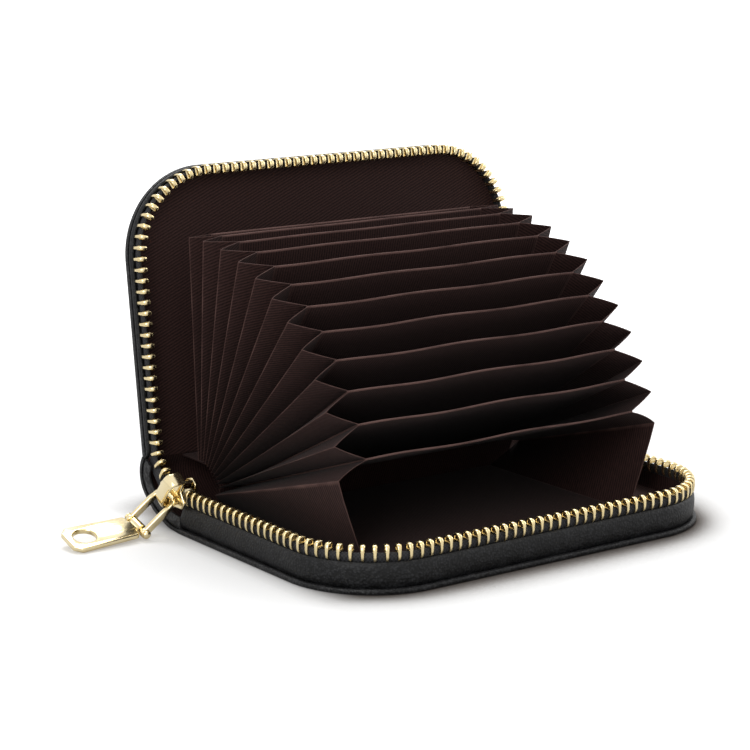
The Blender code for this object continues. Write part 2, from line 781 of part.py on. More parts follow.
def main():
    clear_scene()
    leather = material("black_leather", (0.012, 0.012, 0.013), 0.55)
    board = material("grey_board", (0.30, 0.29, 0.27), 0.9)
    fabric = material("brown_lining", (0.030, 0.017, 0.015), 0.8)
    tape = material("black_tape", (0.010, 0.010, 0.011), 0.85)
    metal = material("pale_gold", (0.83, 0.66, 0.36), 0.18, 1.0)
    finishes = (leather, board, fabric, tape, metal)

    fold = axis_empty("cover_fold_base", location=(0.0, RIM_DEPTH / 2, LOWER_DEPTH))
    build_cover(
        "lower", -1, LOWER_DEPTH, LOWER_PANEL_OVERHANG, TAPE_WIDTH_LOWER, 0.5, fold, finishes
    )
    hinge = axis_empty(
        "cover_fold_axis", fold, (0.0, FOLD_BACK, -FOLD_DROP), turn=-OPEN_ANGLE
    )
    upper = axis_empty("upper_cover_place", hinge, (0.0, -FOLD_BACK, FOLD_DROP))
    build_cover(
        "upper", 1, UPPER_DEPTH, UPPER_PANEL_OVERHANG, TAPE_WIDTH_UPPER, 1.0, upper, finishes
    )
    roots = wall_roots()
    build_walls(roots, fold, fabric)
    build_gussets(roots, fold, fabric)
    build_spine(roots, fold, leather, fabric)
    face = build_slider(fold, tape, metal)
    build_pull(fold, face, metal)


main()
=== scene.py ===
"""Accordion card holder, standing open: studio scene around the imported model.

The file follows the object as it is put together: covers, side bands, boards, linings, zip
tapes and teeth, pocket walls, gussets, root strip, spine, slider, joined end of the tapes,
arch, pull link and pull tab. Sizes are in metres in the model's frame.
"""

import json
import math

import bmesh
import bpy
from mathutils import Matrix, Vector

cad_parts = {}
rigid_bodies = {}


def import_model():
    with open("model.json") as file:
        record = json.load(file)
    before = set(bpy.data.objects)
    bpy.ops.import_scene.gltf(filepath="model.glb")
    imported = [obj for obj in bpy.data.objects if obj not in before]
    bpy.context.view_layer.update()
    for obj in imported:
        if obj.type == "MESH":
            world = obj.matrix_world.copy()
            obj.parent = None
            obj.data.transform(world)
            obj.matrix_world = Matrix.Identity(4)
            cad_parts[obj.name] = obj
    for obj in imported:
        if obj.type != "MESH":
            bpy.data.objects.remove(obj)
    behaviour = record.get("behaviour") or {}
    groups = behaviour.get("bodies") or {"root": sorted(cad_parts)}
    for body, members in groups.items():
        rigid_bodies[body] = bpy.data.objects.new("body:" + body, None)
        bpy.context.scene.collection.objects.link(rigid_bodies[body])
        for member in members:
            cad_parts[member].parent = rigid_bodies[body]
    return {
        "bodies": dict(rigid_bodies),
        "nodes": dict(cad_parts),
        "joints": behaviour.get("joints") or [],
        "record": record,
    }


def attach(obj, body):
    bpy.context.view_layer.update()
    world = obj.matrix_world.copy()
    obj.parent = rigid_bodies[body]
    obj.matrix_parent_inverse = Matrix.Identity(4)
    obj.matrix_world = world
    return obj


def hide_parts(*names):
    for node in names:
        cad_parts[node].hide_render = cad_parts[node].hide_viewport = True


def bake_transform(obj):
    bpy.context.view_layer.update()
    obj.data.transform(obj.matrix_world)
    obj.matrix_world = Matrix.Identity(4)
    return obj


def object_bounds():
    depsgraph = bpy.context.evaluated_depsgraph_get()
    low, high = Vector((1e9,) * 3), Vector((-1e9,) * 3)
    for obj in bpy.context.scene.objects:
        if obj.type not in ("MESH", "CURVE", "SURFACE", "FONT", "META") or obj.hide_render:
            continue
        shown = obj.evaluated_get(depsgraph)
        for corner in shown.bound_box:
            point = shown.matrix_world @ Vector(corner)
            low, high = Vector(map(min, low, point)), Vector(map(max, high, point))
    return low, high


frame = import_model()
cad_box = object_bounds()
MM = 0.001

# Camera: a long lens a little over half a metre off, turned towards the slider's end
# and looking slightly down into the open pockets.
CAMERA_YAW = math.radians(-35.80)
CAMERA_PITCH = math.radians(12.29)
CAMERA_DISTANCE = 577.56 * MM
CAMERA_LENS = 111.5
CAMERA_AIM = (-3.9, 37.2, 30.0)
AIM_RIGHT = 6.65 * MM
AIM_UP = 0.90 * MM
camera_back = Vector(
    (
        math.sin(CAMERA_YAW) * math.cos(CAMERA_PITCH),
        -math.cos(CAMERA_YAW) * math.cos(CAMERA_PITCH),
        math.sin(CAMERA_PITCH),
    )
)
camera_right = Vector((math.cos(CAMERA_YAW), math.sin(CAMERA_YAW), 0.0))
camera_up = camera_back.cross(camera_right)
camera_aim = Vector(CAMERA_AIM) * MM
camera_aim += camera_right * AIM_RIGHT + camera_up * AIM_UP


def new_object(name, data):
    """A new object with this data, put into the scene."""
    made = bpy.data.objects.new(name, data)
    bpy.context.scene.collection.objects.link(made)
    return made


camera_data = bpy.data.cameras.new("camera")
camera_data.lens = CAMERA_LENS
camera_data.sensor_width = 36.0
camera_data.clip_start = 0.02
camera = new_object("camera", camera_data)
turn = Matrix((camera_right, camera_up, camera_back)).transposed()
camera.matrix_world = Matrix.Translation(camera_aim + camera_back * CAMERA_DISTANCE) @ turn.to_4x4()
bpy.context.scene.camera = camera
bpy.context.scene.view_settings.view_transform = "Standard"


# Studio floor and air: a matt white card, lit by a big soft box overhead and behind, a
# softer one at the front left and white air all round, so the shadow falls to the front.
# The card's colour and glow are painted darker to a warm grey close under the covers, a painted shadow,
# which is left out beside the pull.


def linear(value):
    """An sRGB hex colour as linear red, green, blue and alpha."""
    out = []
    for start in (1, 3, 5):
        part = int(value[start : start + 2], 16) / 255
        out.append(part / 12.92 if part <= 0.04045 else ((part + 0.055) / 1.055) ** 2.4)
    return (*out, 1.0)


def set_node(tree, made, links=None, values=None):
    """Set what comes into a node: links first, then plain values, with colours in hex.

    A link comes from a node's output, or from a node, which stands for its first output.
    """
    for socket, source in (links or {}).items():
        if isinstance(source, bpy.types.Node):
            source = source.outputs[0]
        tree.links.new(source, made.inputs[socket])
    for socket, value in (values or {}).items():
        made.inputs[socket].default_value = linear(value) if isinstance(value, str) else value
    return made


def add_node(tree, kind, links=None, values=None, **settings):
    """Add a node with its incoming links, its input values and its options."""
    made = tree.nodes.new(kind)
    for name, value in settings.items():
        setattr(made, name, value)
    return set_node(tree, made, links, values)


WHITE = (1.0, 1.0, 1.0, 1.0)
AIR_ON_OBJECT = 0.42
world = bpy.data.worlds.new("white_air")
world.use_nodes = True
bpy.context.scene.world = world
air = world.node_tree
air.nodes.clear()
ray = add_node(air, "ShaderNodeLightPath")
seen = ray.outputs["Is Camera Ray"]
for kind in ("Is Glossy Ray", "Is Transmission Ray"):
    seen = add_node(air, "ShaderNodeMath", {0: seen, 1: ray.outputs[kind]}, operation="MAXIMUM")
level = add_node(air, "ShaderNodeMapRange", {"Value": seen}, {"To Min": AIR_ON_OBJECT, "To Max": 1.0})
sky = add_node(air, "ShaderNodeBackground", {"Strength": level}, {"Color": WHITE})
add_node(air, "ShaderNodeOutputWorld", {"Surface": sky})

floor_paint = bpy.data.materials.new("floor_white_card")
floor_paint.use_nodes = True
card = floor_paint.node_tree
card.nodes.clear()
FLOOR_DIFFUSE = "#e4e4e4"
FLOOR_SHADE = "#6f6863"
FLOOR_GLOW = 0.28
GLOW_NEAR, GLOW_FAR = 0.12, 0.55
SHADE_REACH = 30 * MM
SHADE_DARK, SHADE_CLEAR = 0.60, 0.98
SHADE_FROM_X, SHADE_TO_X = -48 * MM, -64 * MM
ray = add_node(card, "ShaderNodeLightPath")
spot = add_node(card, "ShaderNodeTexCoord")
out = add_node(card, "ShaderNodeVectorMath", {0: spot.outputs["Object"]}, operation="LENGTH")
spread = add_node(
    card,
    "ShaderNodeMapRange",
    {"Value": out.outputs["Value"]},
    {"From Min": GLOW_NEAR, "From Max": GLOW_FAR, "To Min": FLOOR_GLOW, "To Max": 1.0},
)
glow = add_node(card, "ShaderNodeMath", {0: ray.outputs["Is Camera Ray"], 1: spread}, operation="MULTIPLY")
# Painted shadow: ambient occlusion near the covers darkens the card towards FLOOR_SHADE and dims its glow,
# except beside the pull.
near = add_node(card, "ShaderNodeAmbientOcclusion", values={"Distance": SHADE_REACH}, samples=12)
clear = add_node(
    card,
    "ShaderNodeMapRange",
    {"Value": near.outputs["AO"]},
    {"From Min": SHADE_DARK, "From Max": SHADE_CLEAR},
    interpolation_type="SMOOTHSTEP",
)
along = add_node(card, "ShaderNodeSeparateXYZ", {0: spot.outputs["Object"]})
beside = add_node(
    card,
    "ShaderNodeMapRange",
    {"Value": along},
    {"From Min": SHADE_FROM_X, "From Max": SHADE_TO_X},
    interpolation_type="SMOOTHSTEP",
)
clear = add_node(card, "ShaderNodeMath", {0: clear, 1: beside}, operation="MAXIMUM")
glow = add_node(card, "ShaderNodeMath", {0: glow, 1: clear}, operation="MULTIPLY")
shaded = add_node(card, "ShaderNodeMix", {0: clear}, {6: FLOOR_SHADE, 7: FLOOR_DIFFUSE}, data_type="RGBA")
matt = add_node(card, "ShaderNodeBsdfDiffuse", {"Color": shaded.outputs[2]})
lift = add_node(card, "ShaderNodeEmission", {"Strength": glow}, {"Color": WHITE})
both = add_node(card, "ShaderNodeAddShader", {0: matt, 1: lift})
add_node(card, "ShaderNodeOutputMaterial", {"Surface": both})
FLOOR_SIZE = 6.0
floor_mesh = bpy.data.meshes.new("floor")
corner = FLOOR_SIZE / 2
floor_mesh.from_pydata(
    [(-corner, -corner, 0), (corner, -corner, 0), (corner, corner, 0), (-corner, corner, 0)],
    [],
    [(0, 1, 2, 3)],
)
floor_mesh.materials.append(floor_paint)
floor = new_object("floor", floor_mesh)

LAMPS_AIM = Vector((0.0, 0.02, 0.03))
for name, place, width, height, power in (
    ("overhead_box", (0.15, 0.35, 0.75), 0.60, 0.45, 5.2),
    ("front_left_box", (-0.62, -0.42, 0.42), 0.35, 0.50, 2.6),
    ("right_strip", (0.65, -0.10, 0.30), 0.15, 0.50, 0.9),
):
    lamp = bpy.data.lights.new(name, "AREA")
    lamp.shape = "RECTANGLE"
    lamp.size = width
    lamp.size_y = height
    lamp.energy = power
    box = new_object(name, lamp)
    box.location = place
    aim = LAMPS_AIM - Vector(place)
    box.rotation_euler = aim.to_track_quat("-Z", "Y").to_euler()


# Cover panels: black grained leather drawn over each cover, with its edge turned round
# the board and glued, which leaves a rounded lip and small pleats at the corners.
HINGE_Y = 37.2 * MM
HINGE_Z = 10.3 * MM
OPEN_ANGLE = math.radians(97.4)
FOLD_BACK = 2.466 * MM
FOLD_DROP = 2.033 * MM
RIM_LENGTH = 112.8 * MM
RIM_DEPTH = 74.4 * MM
RIM_CORNER = 21.7 * MM
SIDE = RIM_DEPTH - RIM_CORNER
ARC = math.pi / 2 * RIM_CORNER
RIM_TOTAL = 2 * (SIDE + ARC) + RIM_LENGTH - 2 * RIM_CORNER
LOWER_DEPTH = 10.3 * MM
UPPER_DEPTH = 6.2 * MM
PANEL_BACK = 5.5 * MM


def rim(distance, offset=0.0):
    """A point beside the rim in plan, measured along it from the left end of the fold."""
    half = RIM_LENGTH / 2
    if distance > RIM_TOTAL / 2:
        x, y = rim(RIM_TOTAL - distance, offset)
        return -x, y
    if distance <= SIDE:
        return -half - offset, -distance
    if distance <= SIDE + ARC:
        angle = (distance - SIDE) / RIM_CORNER
        reach = RIM_CORNER + offset
        return -half + RIM_CORNER - reach * math.cos(angle), -SIDE - reach * math.sin(angle)
    return -half + RIM_CORNER + distance - SIDE - ARC, -RIM_DEPTH - offset


def lower_place(x, y, depth):
    """A point of the lower cover: depth is its distance below the rim plane."""
    return Vector((x, HINGE_Y + y, HINGE_Z - depth))


def upper_place(x, y, depth):
    """A point of the upper cover, which is turned back on the fold."""
    y -= FOLD_BACK
    depth += FOLD_DROP
    return Vector(
        (
            x,
            HINGE_Y + FOLD_BACK + y * math.cos(OPEN_ANGLE) + depth * math.sin(OPEN_ANGLE),
            HINGE_Z - FOLD_DROP + depth * math.cos(OPEN_ANGLE) - y * math.sin(OPEN_ANGLE),
        )
    )


def rim_ring(place, distance, section):
    """A section's points of offset and depth, put beside the rim at one distance along it."""
    return [place(*rim(distance, offset), depth) for offset, depth in section]


def stations(start, end, step):
    """Evenly spaced distances from start to end."""
    count = max(1, math.ceil((end - start) / step))
    return [start + (end - start) * i / count for i in range(count + 1)]


def finish_piece(name, form, body, node_name, finish, sharp=40.0):
    """Turn a bmesh into a named piece that rides on a body and stands for a CAD node."""
    bmesh.ops.recalc_face_normals(form, faces=form.faces)
    test = form.copy()
    bmesh.ops.triangulate(test, faces=test.faces)
    if test.calc_volume(signed=True) < 0:
        bmesh.ops.reverse_faces(form, faces=form.faces)
    test.free()
    mesh = bpy.data.meshes.new(name)
    form.to_mesh(mesh)
    form.free()
    mesh.shade_smooth()
    mesh.set_sharp_from_angle(angle=math.radians(sharp))
    mesh.materials.append(finish)
    piece = new_object(name, mesh)
    if body:
        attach(piece, body)
    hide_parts(node_name)
    return piece


def loft(rings, caps=True, closed_ring=True, form=None):
    """A bmesh through rings of points, each joined to the next, or more of them in a form."""
    if form is None:
        form = bmesh.new()
    grid = [[form.verts.new(point) for point in ring] for ring in rings]
    size = len(grid[0])
    last = size if closed_ring else size - 1
    for near, far in zip(grid, grid[1:]):
        for i in range(last):
            j = (i + 1) % size
            form.faces.new((near[i], near[j], far[j], far[i]))
    if caps:
        form.faces.new(list(reversed(grid[0])))
        form.faces.new(grid[-1])
    return form, grid


GRAIN = 0.55
GRAIN_COARSE = 2.4
GRAIN_HEIGHT = 0.16 * MM


def new_finish(name):
    """A new material with its node tree and its main shader."""
    made = bpy.data.materials.new(name)
    made.use_nodes = True
    return made, made.node_tree, made.node_tree.nodes["Principled BSDF"]


def grain_leather(name, base, pale_mottle, roughness):
    """Chrome-tanned cow leather, pebbled by a plate: soft speckled gloss on near-black.

    The pebbles are half a millimetre across, over a slow unevenness of the skin.
    """
    made, tree, shader = new_finish(name)
    place = add_node(tree, "ShaderNodeTexCoord")
    in_mm = add_node(
        tree, "ShaderNodeMapping", {"Vector": place.outputs["Object"]}, {"Scale": (1000.0, 1000.0, 1000.0)}
    )
    pebbles = add_node(
        tree,
        "ShaderNodeTexVoronoi",
        {"Vector": in_mm},
        {"Scale": 1.0 / GRAIN, "Randomness": 0.9},
        feature="SMOOTH_F1",
    )
    slow = add_node(
        tree,
        "ShaderNodeTexNoise",
        {"Vector": in_mm},
        {"Scale": 1.0 / GRAIN_COARSE, "Detail": 4.0, "Roughness": 0.6},
    )
    height = add_node(
        tree, "ShaderNodeMath", {0: slow, 1: pebbles.outputs["Distance"]}, operation="SUBTRACT"
    )
    bump = add_node(
        tree, "ShaderNodeBump", {"Height": height}, {"Strength": 0.85, "Distance": GRAIN_HEIGHT}
    )
    tone = add_node(tree, "ShaderNodeMix", {0: height}, {6: base, 7: pale_mottle}, data_type="RGBA")
    gloss = add_node(
        tree,
        "ShaderNodeMapRange",
        {"Value": slow},
        {"To Min": roughness - 0.08, "To Max": roughness + 0.10},
    )
    links = {"Base Color": tone.outputs[2], "Roughness": gloss, "Normal": bump}
    set_node(tree, shader, links, {"Specular IOR Level": 0.26})
    return made


black_leather = grain_leather("black_grained_leather", "#0c0c0d", "#3a3b3d", 0.50)
# The turned edges and end tabs are the same leather as the bands: their lighter colours are painted light,
# standing in for the overhead box on the upturned lips, and their lower roughness gives more gloss.
painted_lit_leather = grain_leather("turned_leather_edge_painted_lighter", "#171718", "#4a4a4c", 0.42)

LIP_OUT = {"lower": 0.65 * MM, "upper": 0.16 * MM}
LIP_HEIGHT = 1.45 * MM
PLEAT_DEPTH = 0.10 * MM
PLEAT_PITCH = 1.9 * MM
PANEL_CROWN = {"lower": 0.0, "upper": 0.35 * MM}
INSETS = (1.0, 2.5, 5.0, 9.0, 14.0, 19.0)
# Round the turned edge: millimetres out from the rim and down from the lip's top, and then
# shares of the lip's width and of the pleat, with millimetres down.
LIP_UNDER = ((-INSETS[-1], 0.45), (-2.0, 0.45), (-1.0, 0.40), (-0.45, 0.12))
LIP_ROUND = ((0.35, 1, 0), (0.80, 1, 0.14), (1, 1, 0.45), (1, 1, 0.85), (0.72, 0.7, 1.25), (0.1, 0, 1.41))
COVERS = (("lower", LOWER_DEPTH, lower_place), ("upper", UPPER_DEPTH, upper_place))


def pleat(distance):
    """How far the turned edge is drawn in at a corner's pleats."""
    near = min(abs(d - SIDE - ARC / 2) for d in (distance, RIM_TOTAL - distance))
    share = max(0.0, 1.0 - near / (0.75 * ARC))
    wave = math.sin(2 * math.pi * distance / PLEAT_PITCH)
    wander = math.sin(2 * math.pi * distance / (3.7 * PLEAT_PITCH))
    return PLEAT_DEPTH * share * max(0.0, wave * (0.6 + 0.4 * wander)) ** 2


for cover, depth, place in COVERS:
    crown = PANEL_CROWN[cover]
    out = LIP_OUT[cover]
    top = depth - LIP_HEIGHT
    rings = []
    for distance in stations(PANEL_BACK, RIM_TOTAL - PANEL_BACK, 0.45 * MM):
        drawn = pleat(distance)
        section = [(x * MM, top + down * MM) for x, down in LIP_UNDER]
        section += [(out * wide - drawn * pull, top + down * MM) for wide, pull, down in LIP_ROUND]
        section.append((-0.6 * MM, depth))
        for inset in INSETS:
            section.append((-inset * MM, depth + crown * (1 - math.exp(-inset / 5.0))))
        rings.append(rim_ring(place, distance, section))
    form, grid = loft(rings, caps=False, closed_ring=False)
    form.faces.new([ring[0] for ring in grid])
    form.faces.new([ring[-1] for ring in grid])
    form.faces.new(list(grid[0]) + list(reversed(grid[-1])))
    finish_piece(
        f"{cover}_leather_cover", form, f"{cover}_cover", f"{cover}_panel", painted_lit_leather
    )


# Side bands: a strip of the same leather on edge round three sides of each cover, its
# upper edge turned in over the zip tape and its ends rounded off beside the fold.
BAND_START = 5.7 * MM
BAND_TOP = 3.10 * MM
BAND_ROUND = 2.4 * MM
# Points round the band's section: millimetres out from the rim, and how far down its height.
BAND_OUTSIDE = ((-0.80, 1), (-0.50, 0.90), (-0.12, 0.78), (0.06, 0.55), (0.08, 0.30), (-0.02, 0.14))
BAND_INSIDE = ((-0.20, 0.05), (-0.48, 0), (-0.80, 0.04), (-0.95, 0.14), (-1.0, 0.50), (-1.0, 1))
for cover, depth, place in COVERS:
    foot = depth - LIP_HEIGHT + 0.25 * MM
    rings = []
    for distance in stations(BAND_START, RIM_TOTAL - BAND_START, 0.8 * MM):
        near = min(distance, RIM_TOTAL - distance) - BAND_START
        share = min(1.0, near / BAND_ROUND)
        drop = (1 - math.sqrt(1 - (1 - share) ** 2)) * min(BAND_ROUND, 0.8 * (foot - BAND_TOP))
        top = BAND_TOP + drop
        span = foot - top
        section = [(x * MM, top + span * share) for x, share in BAND_OUTSIDE + BAND_INSIDE]
        rings.append(rim_ring(place, distance, section))
    form, _ = loft(rings)
    finish_piece(
        f"{cover}_side_band", form, f"{cover}_cover", f"{cover}_band", black_leather, sharp=60
    )


# Stiffening boards: grey pressed board glued between the leather and the lining. It keeps the
# covers flat and is out of sight. Its flecks of waste paper are about a millimetre across.
FLECKS_PER_METRE = 900.0
grey_board, tree, shader = new_finish("grey_pressed_board")
fibres = add_node(
    tree,
    "ShaderNodeTexNoise",
    {"Vector": add_node(tree, "ShaderNodeTexCoord").outputs["Object"]},
    {"Scale": FLECKS_PER_METRE, "Detail": 5.0},
)
tone = add_node(tree, "ShaderNodeMix", {0: fibres}, {6: "#77736c", 7: "#9c978e"}, data_type="RGBA")
set_node(tree, shader, {"Base Color": tone.outputs[2]}, {"Roughness": 0.9})
for cover in ("lower", "upper"):
    board = frame["nodes"][f"{cover}_board"]
    board.data.materials.clear()
    board.data.materials.append(grey_board)


# Linings: dark brown twill glued to the inside of each cover and up the inner side of its
# band, where its edge is caught behind the zip tape. Real ribs lie 0.3 mm apart, too fine to
# show in the render, so they are drawn at 0.7 mm.
RIB_PITCH = 0.70
RIB_HEIGHT = 0.10 * MM
YARN_PER_MM = 2.2
# Size of the mottling along the paler fold lines, per millimetre.
EDGE_MOTTLE_PER_MM = 0.12
# Brown that paints shade into the lining deep in the pockets.
PAINTED_SHADE_BROWN = "#0b0807"


def twill(name, base, ridge, fold):
    """Woven polyester twill: fine matt ribs, drawn paler along pressed folds and edges.

    It reads the piece's own cloth coordinates, and paints shade into its colour where the cloth lies deep
    in a pocket.
    """
    made, tree, shader = new_finish(name)
    cloth = add_node(tree, "ShaderNodeAttribute", attribute_name="cloth")
    part = add_node(tree, "ShaderNodeSeparateXYZ", {0: cloth.outputs["Vector"]})
    flat = add_node(tree, "ShaderNodeCombineXYZ", {0: part, 1: part.outputs[1]})
    ribs = add_node(
        tree,
        "ShaderNodeTexWave",
        {"Vector": flat},
        {"Scale": math.pi / 10 / RIB_PITCH, "Distortion": 0.8, "Detail Scale": 0.6},
    )
    weave = add_node(tree, "ShaderNodeTexNoise", {"Vector": flat}, {"Scale": YARN_PER_MM, "Detail": 3.0})
    # Noise that mottles the paler lines along folds and edges.
    pale_mottle = add_node(tree, "ShaderNodeTexNoise", {"Vector": flat}, {"Scale": EDGE_MOTTLE_PER_MM, "Detail": 3.0})
    mixed = add_node(
        tree, "ShaderNodeMath", {0: ribs.outputs[1], 2: weave}, {1: 0.7}, operation="MULTIPLY_ADD"
    )
    shade = add_node(tree, "ShaderNodeMapRange", {"Value": mixed}, {"From Min": 0.35, "From Max": 1.35})
    tone = add_node(tree, "ShaderNodeMix", {0: shade}, {6: base, 7: ridge}, data_type="RGBA")
    edge = add_node(tree, "ShaderNodeMath", {0: part.outputs[2], 1: pale_mottle}, operation="MULTIPLY")
    line = add_node(tree, "ShaderNodeMapRange", {"Value": edge}, {"From Min": 0.10, "From Max": 0.60})
    paler = add_node(tree, "ShaderNodeMix", {0: line, 6: tone.outputs[2]}, {7: fold}, data_type="RGBA")
    bump = add_node(tree, "ShaderNodeBump", {"Height": mixed}, {"Strength": 0.5, "Distance": RIB_HEIGHT})
    # Painted shade: the deep attribute darkens the colour towards a near-black brown.
    deep = add_node(tree, "ShaderNodeAttribute", attribute_name="deep")
    painted_shade_tone = add_node(
        tree,
        "ShaderNodeMix",
        {0: deep.outputs["Fac"], 6: paler.outputs[2]},
        {7: PAINTED_SHADE_BROWN},
        data_type="RGBA",
    )
    soft = {"Roughness": 0.78, "Specular IOR Level": 0.12, "Sheen Weight": 0.03, "Sheen Roughness": 0.5}
    set_node(tree, shader, {"Base Color": painted_shade_tone.outputs[2], "Normal": bump}, soft)
    return made


brown_twill = twill("brown_twill_lining", "#170d0c", "#3e2926", "#654c47")


def set_cloth(piece, values, deep=None):
    """Store cloth coordinates on a mesh, and how much painted shade the cloth gets deep in a pocket.

    The coordinates are millimetres across and along, and the share of a pressed fold.
    """
    layer = piece.data.attributes.new("cloth", "FLOAT_VECTOR", "POINT")
    flat = [number for value in values for number in value]
    layer.data.foreach_set("vector", flat)
    if deep:
        layer = piece.data.attributes.new("deep", "FLOAT", "POINT")
        layer.data.foreach_set("value", deep)


LINING_LEVEL = {"lower": 7.95 * MM, "upper": 3.85 * MM}
LINING_TOP = 3.3 * MM
LINING_THICK = 0.32 * MM
TWILL_ACROSS, TWILL_ALONG = 381.0, 925.0
for cover, _, place in COVERS:
    level = LINING_LEVEL[cover]
    span = level - LINING_TOP
    rings, cloth = [], []
    for distance in stations(PANEL_BACK, RIM_TOTAL - PANEL_BACK, 1.0 * MM):
        section = [
            (-1.62 * MM, LINING_TOP),
            (-1.66 * MM, level - 0.50 * span),
            (-1.95 * MM, level - 0.15 * span),
            (-2.9 * MM, level),
        ]
        section += [(-inset * MM, level) for inset in INSETS[2:]]
        back_side = [(o + 0.02 * MM, d + LINING_THICK) for o, d in reversed(section[3:])]
        back_side += [
            (-1.80 * MM, level + LINING_THICK * 0.6),
            (-1.56 * MM, level - 0.25 * span),
            (-1.54 * MM, LINING_TOP),
        ]
        ring = []
        for offset, depth in section + back_side:
            x, y = rim(distance, offset)
            ring.append(place(x, y, depth))
            across = x * TWILL_ACROSS + y * TWILL_ALONG
            along = x * TWILL_ALONG - y * TWILL_ACROSS
            cloth.append((across, along, 0.0))
        rings.append(ring)
    form, grid = loft(rings, caps=False)
    inner = len(section) - 1
    form.faces.new([ring[inner] for ring in grid])
    form.faces.new([ring[inner + 1] for ring in grid])
    for ring in (grid[0], grid[-1]):
        form.faces.new(ring)
    joining = [grid[0][inner], grid[0][inner + 1], grid[-1][inner + 1], grid[-1][inner]]
    form.faces.new(joining)
    piece = finish_piece(
        f"{cover}_cover_lining", form, f"{cover}_cover", f"{cover}_lining", brown_twill
    )
    set_cloth(piece, cloth)


# Zip tapes: black woven tape with a corded edge, sewn in behind each side band, so that the
# cord and a narrow line of tape show between the teeth.
TAPE_DEPTH = {"lower": 6.4 * MM, "upper": 4.3 * MM}
TAPE_TOP = 3.1 * MM
CORD_OFFSET = -1.20 * MM
CORD_DEPTH = 1.90 * MM
CORD_WIDE = 0.55 * MM
CORD_HIGH = 0.85 * MM
SPUN_PER_MM = 2.2

# Spun polyester, plain woven and dyed black: dull, with a dark and pale check of threads.
black_tape, tree, shader = new_finish("black_woven_tape")
cloth = add_node(tree, "ShaderNodeAttribute", attribute_name="cloth")
weave = add_node(
    tree,
    "ShaderNodeTexChecker",
    {"Vector": cloth.outputs["Vector"]},
    {"Scale": SPUN_PER_MM, "Color1": (0.1, 0.1, 0.1, 1.0), "Color2": WHITE},
)
tone = add_node(
    tree, "ShaderNodeMix", {0: weave.outputs[1]}, {6: "#0e0e10", 7: "#2a2a2e"}, data_type="RGBA"
)
bump = add_node(
    tree, "ShaderNodeBump", {"Height": weave.outputs[1]}, {"Strength": 0.5, "Distance": 0.08 * MM}
)
set_node(tree, shader, {"Base Color": tone.outputs[2], "Normal": bump}, {"Roughness": 0.75})

for cover, _, place in COVERS:
    deep = TAPE_DEPTH[cover]
    section = [(-1.44 * MM, deep), (-1.44 * MM, TAPE_TOP)]
    for step in range(9):
        angle = math.radians(-125 + 250 * step / 8)
        side = CORD_OFFSET + CORD_WIDE * math.sin(angle)
        section.append((side, CORD_DEPTH - CORD_HIGH * math.cos(angle)))
    section += [(-1.16 * MM, TAPE_TOP), (-1.16 * MM, deep)]
    rings, cloth = [], []
    for distance in stations(BAND_START, RIM_TOTAL - BAND_START, 1.0 * MM):
        rings.append(rim_ring(place, distance, section))
        cloth += [(distance * 1000, depth * 1000 + offset * 1000, 0.5) for offset, depth in section]
    form, _ = loft(rings)
    piece = finish_piece(
        f"{cover}_woven_tape", form, f"{cover}_cover", f"{cover}_zip_tape", black_tape
    )
    set_cloth(piece, cloth)


# Zip teeth: each is stamped from flat brass wire, a yoke with two legs squeezed over the cord
# and a cupped head with a bar below it, then plated. They stand evenly all round the rim.
TOOTH_PITCH = 2.6 * MM
CHAIN_START = 6.9 * MM
CHAIN_END = 4.0 * MM
TEETH = int((RIM_TOTAL - CHAIN_START - CHAIN_END) / TOOTH_PITCH)
PHASE = {"lower": 0.5, "upper": 1.0}
HAZE_PER_METRE = 380.0
WIRE_HALF = 0.35 * MM
WIRE_THICK = 0.24 * MM
YOKE_INSIDE = 0.95


def polished_metal(name, colour, rough):
    """Zinc or brass, tumbled and plated pale gold: mirror-like, with a faint handling haze."""
    made, tree, shader = new_finish(name)
    place = add_node(tree, "ShaderNodeTexCoord")
    haze = add_node(
        tree,
        "ShaderNodeTexNoise",
        {"Vector": place.outputs["Object"]},
        {"Scale": HAZE_PER_METRE, "Detail": 4.0, "Roughness": 0.55},
    )
    gloss = add_node(
        tree, "ShaderNodeMapRange", {"Value": haze}, {"To Min": rough - 0.05, "To Max": rough + 0.09}
    )
    tone = add_node(tree, "ShaderNodeMix", {0: haze}, {6: colour[0], 7: colour[1]}, data_type="RGBA")
    set_node(tree, shader, {"Base Color": tone.outputs[2], "Roughness": gloss}, {"Metallic": 1.0})
    return made


tooth_gold = polished_metal("pale_gold_zip_teeth", ("#e6cf94", "#f4e3b8"), 0.24)


def sweep(path, section):
    """Rings of a section carried along a path in the plane of its second and third axes."""
    rings = []
    for i, (place, share) in enumerate(path):
        before = path[max(i - 1, 0)][0]
        after = path[min(i + 1, len(path) - 1)][0]
        run = (after - before).normalized()
        side = Vector((0.0, -run.z, run.y))
        ring = [place + Vector((w * share[0], 0.0, 0.0)) + side * h * share[1] for w, h in section]
        rings.append(ring)
    return rings


def circle(steps):
    """Cosine and sine of even steps round a circle."""
    turns = [2 * math.pi * step / steps for step in range(steps)]
    return [(math.cos(turn), math.sin(turn)) for turn in turns]


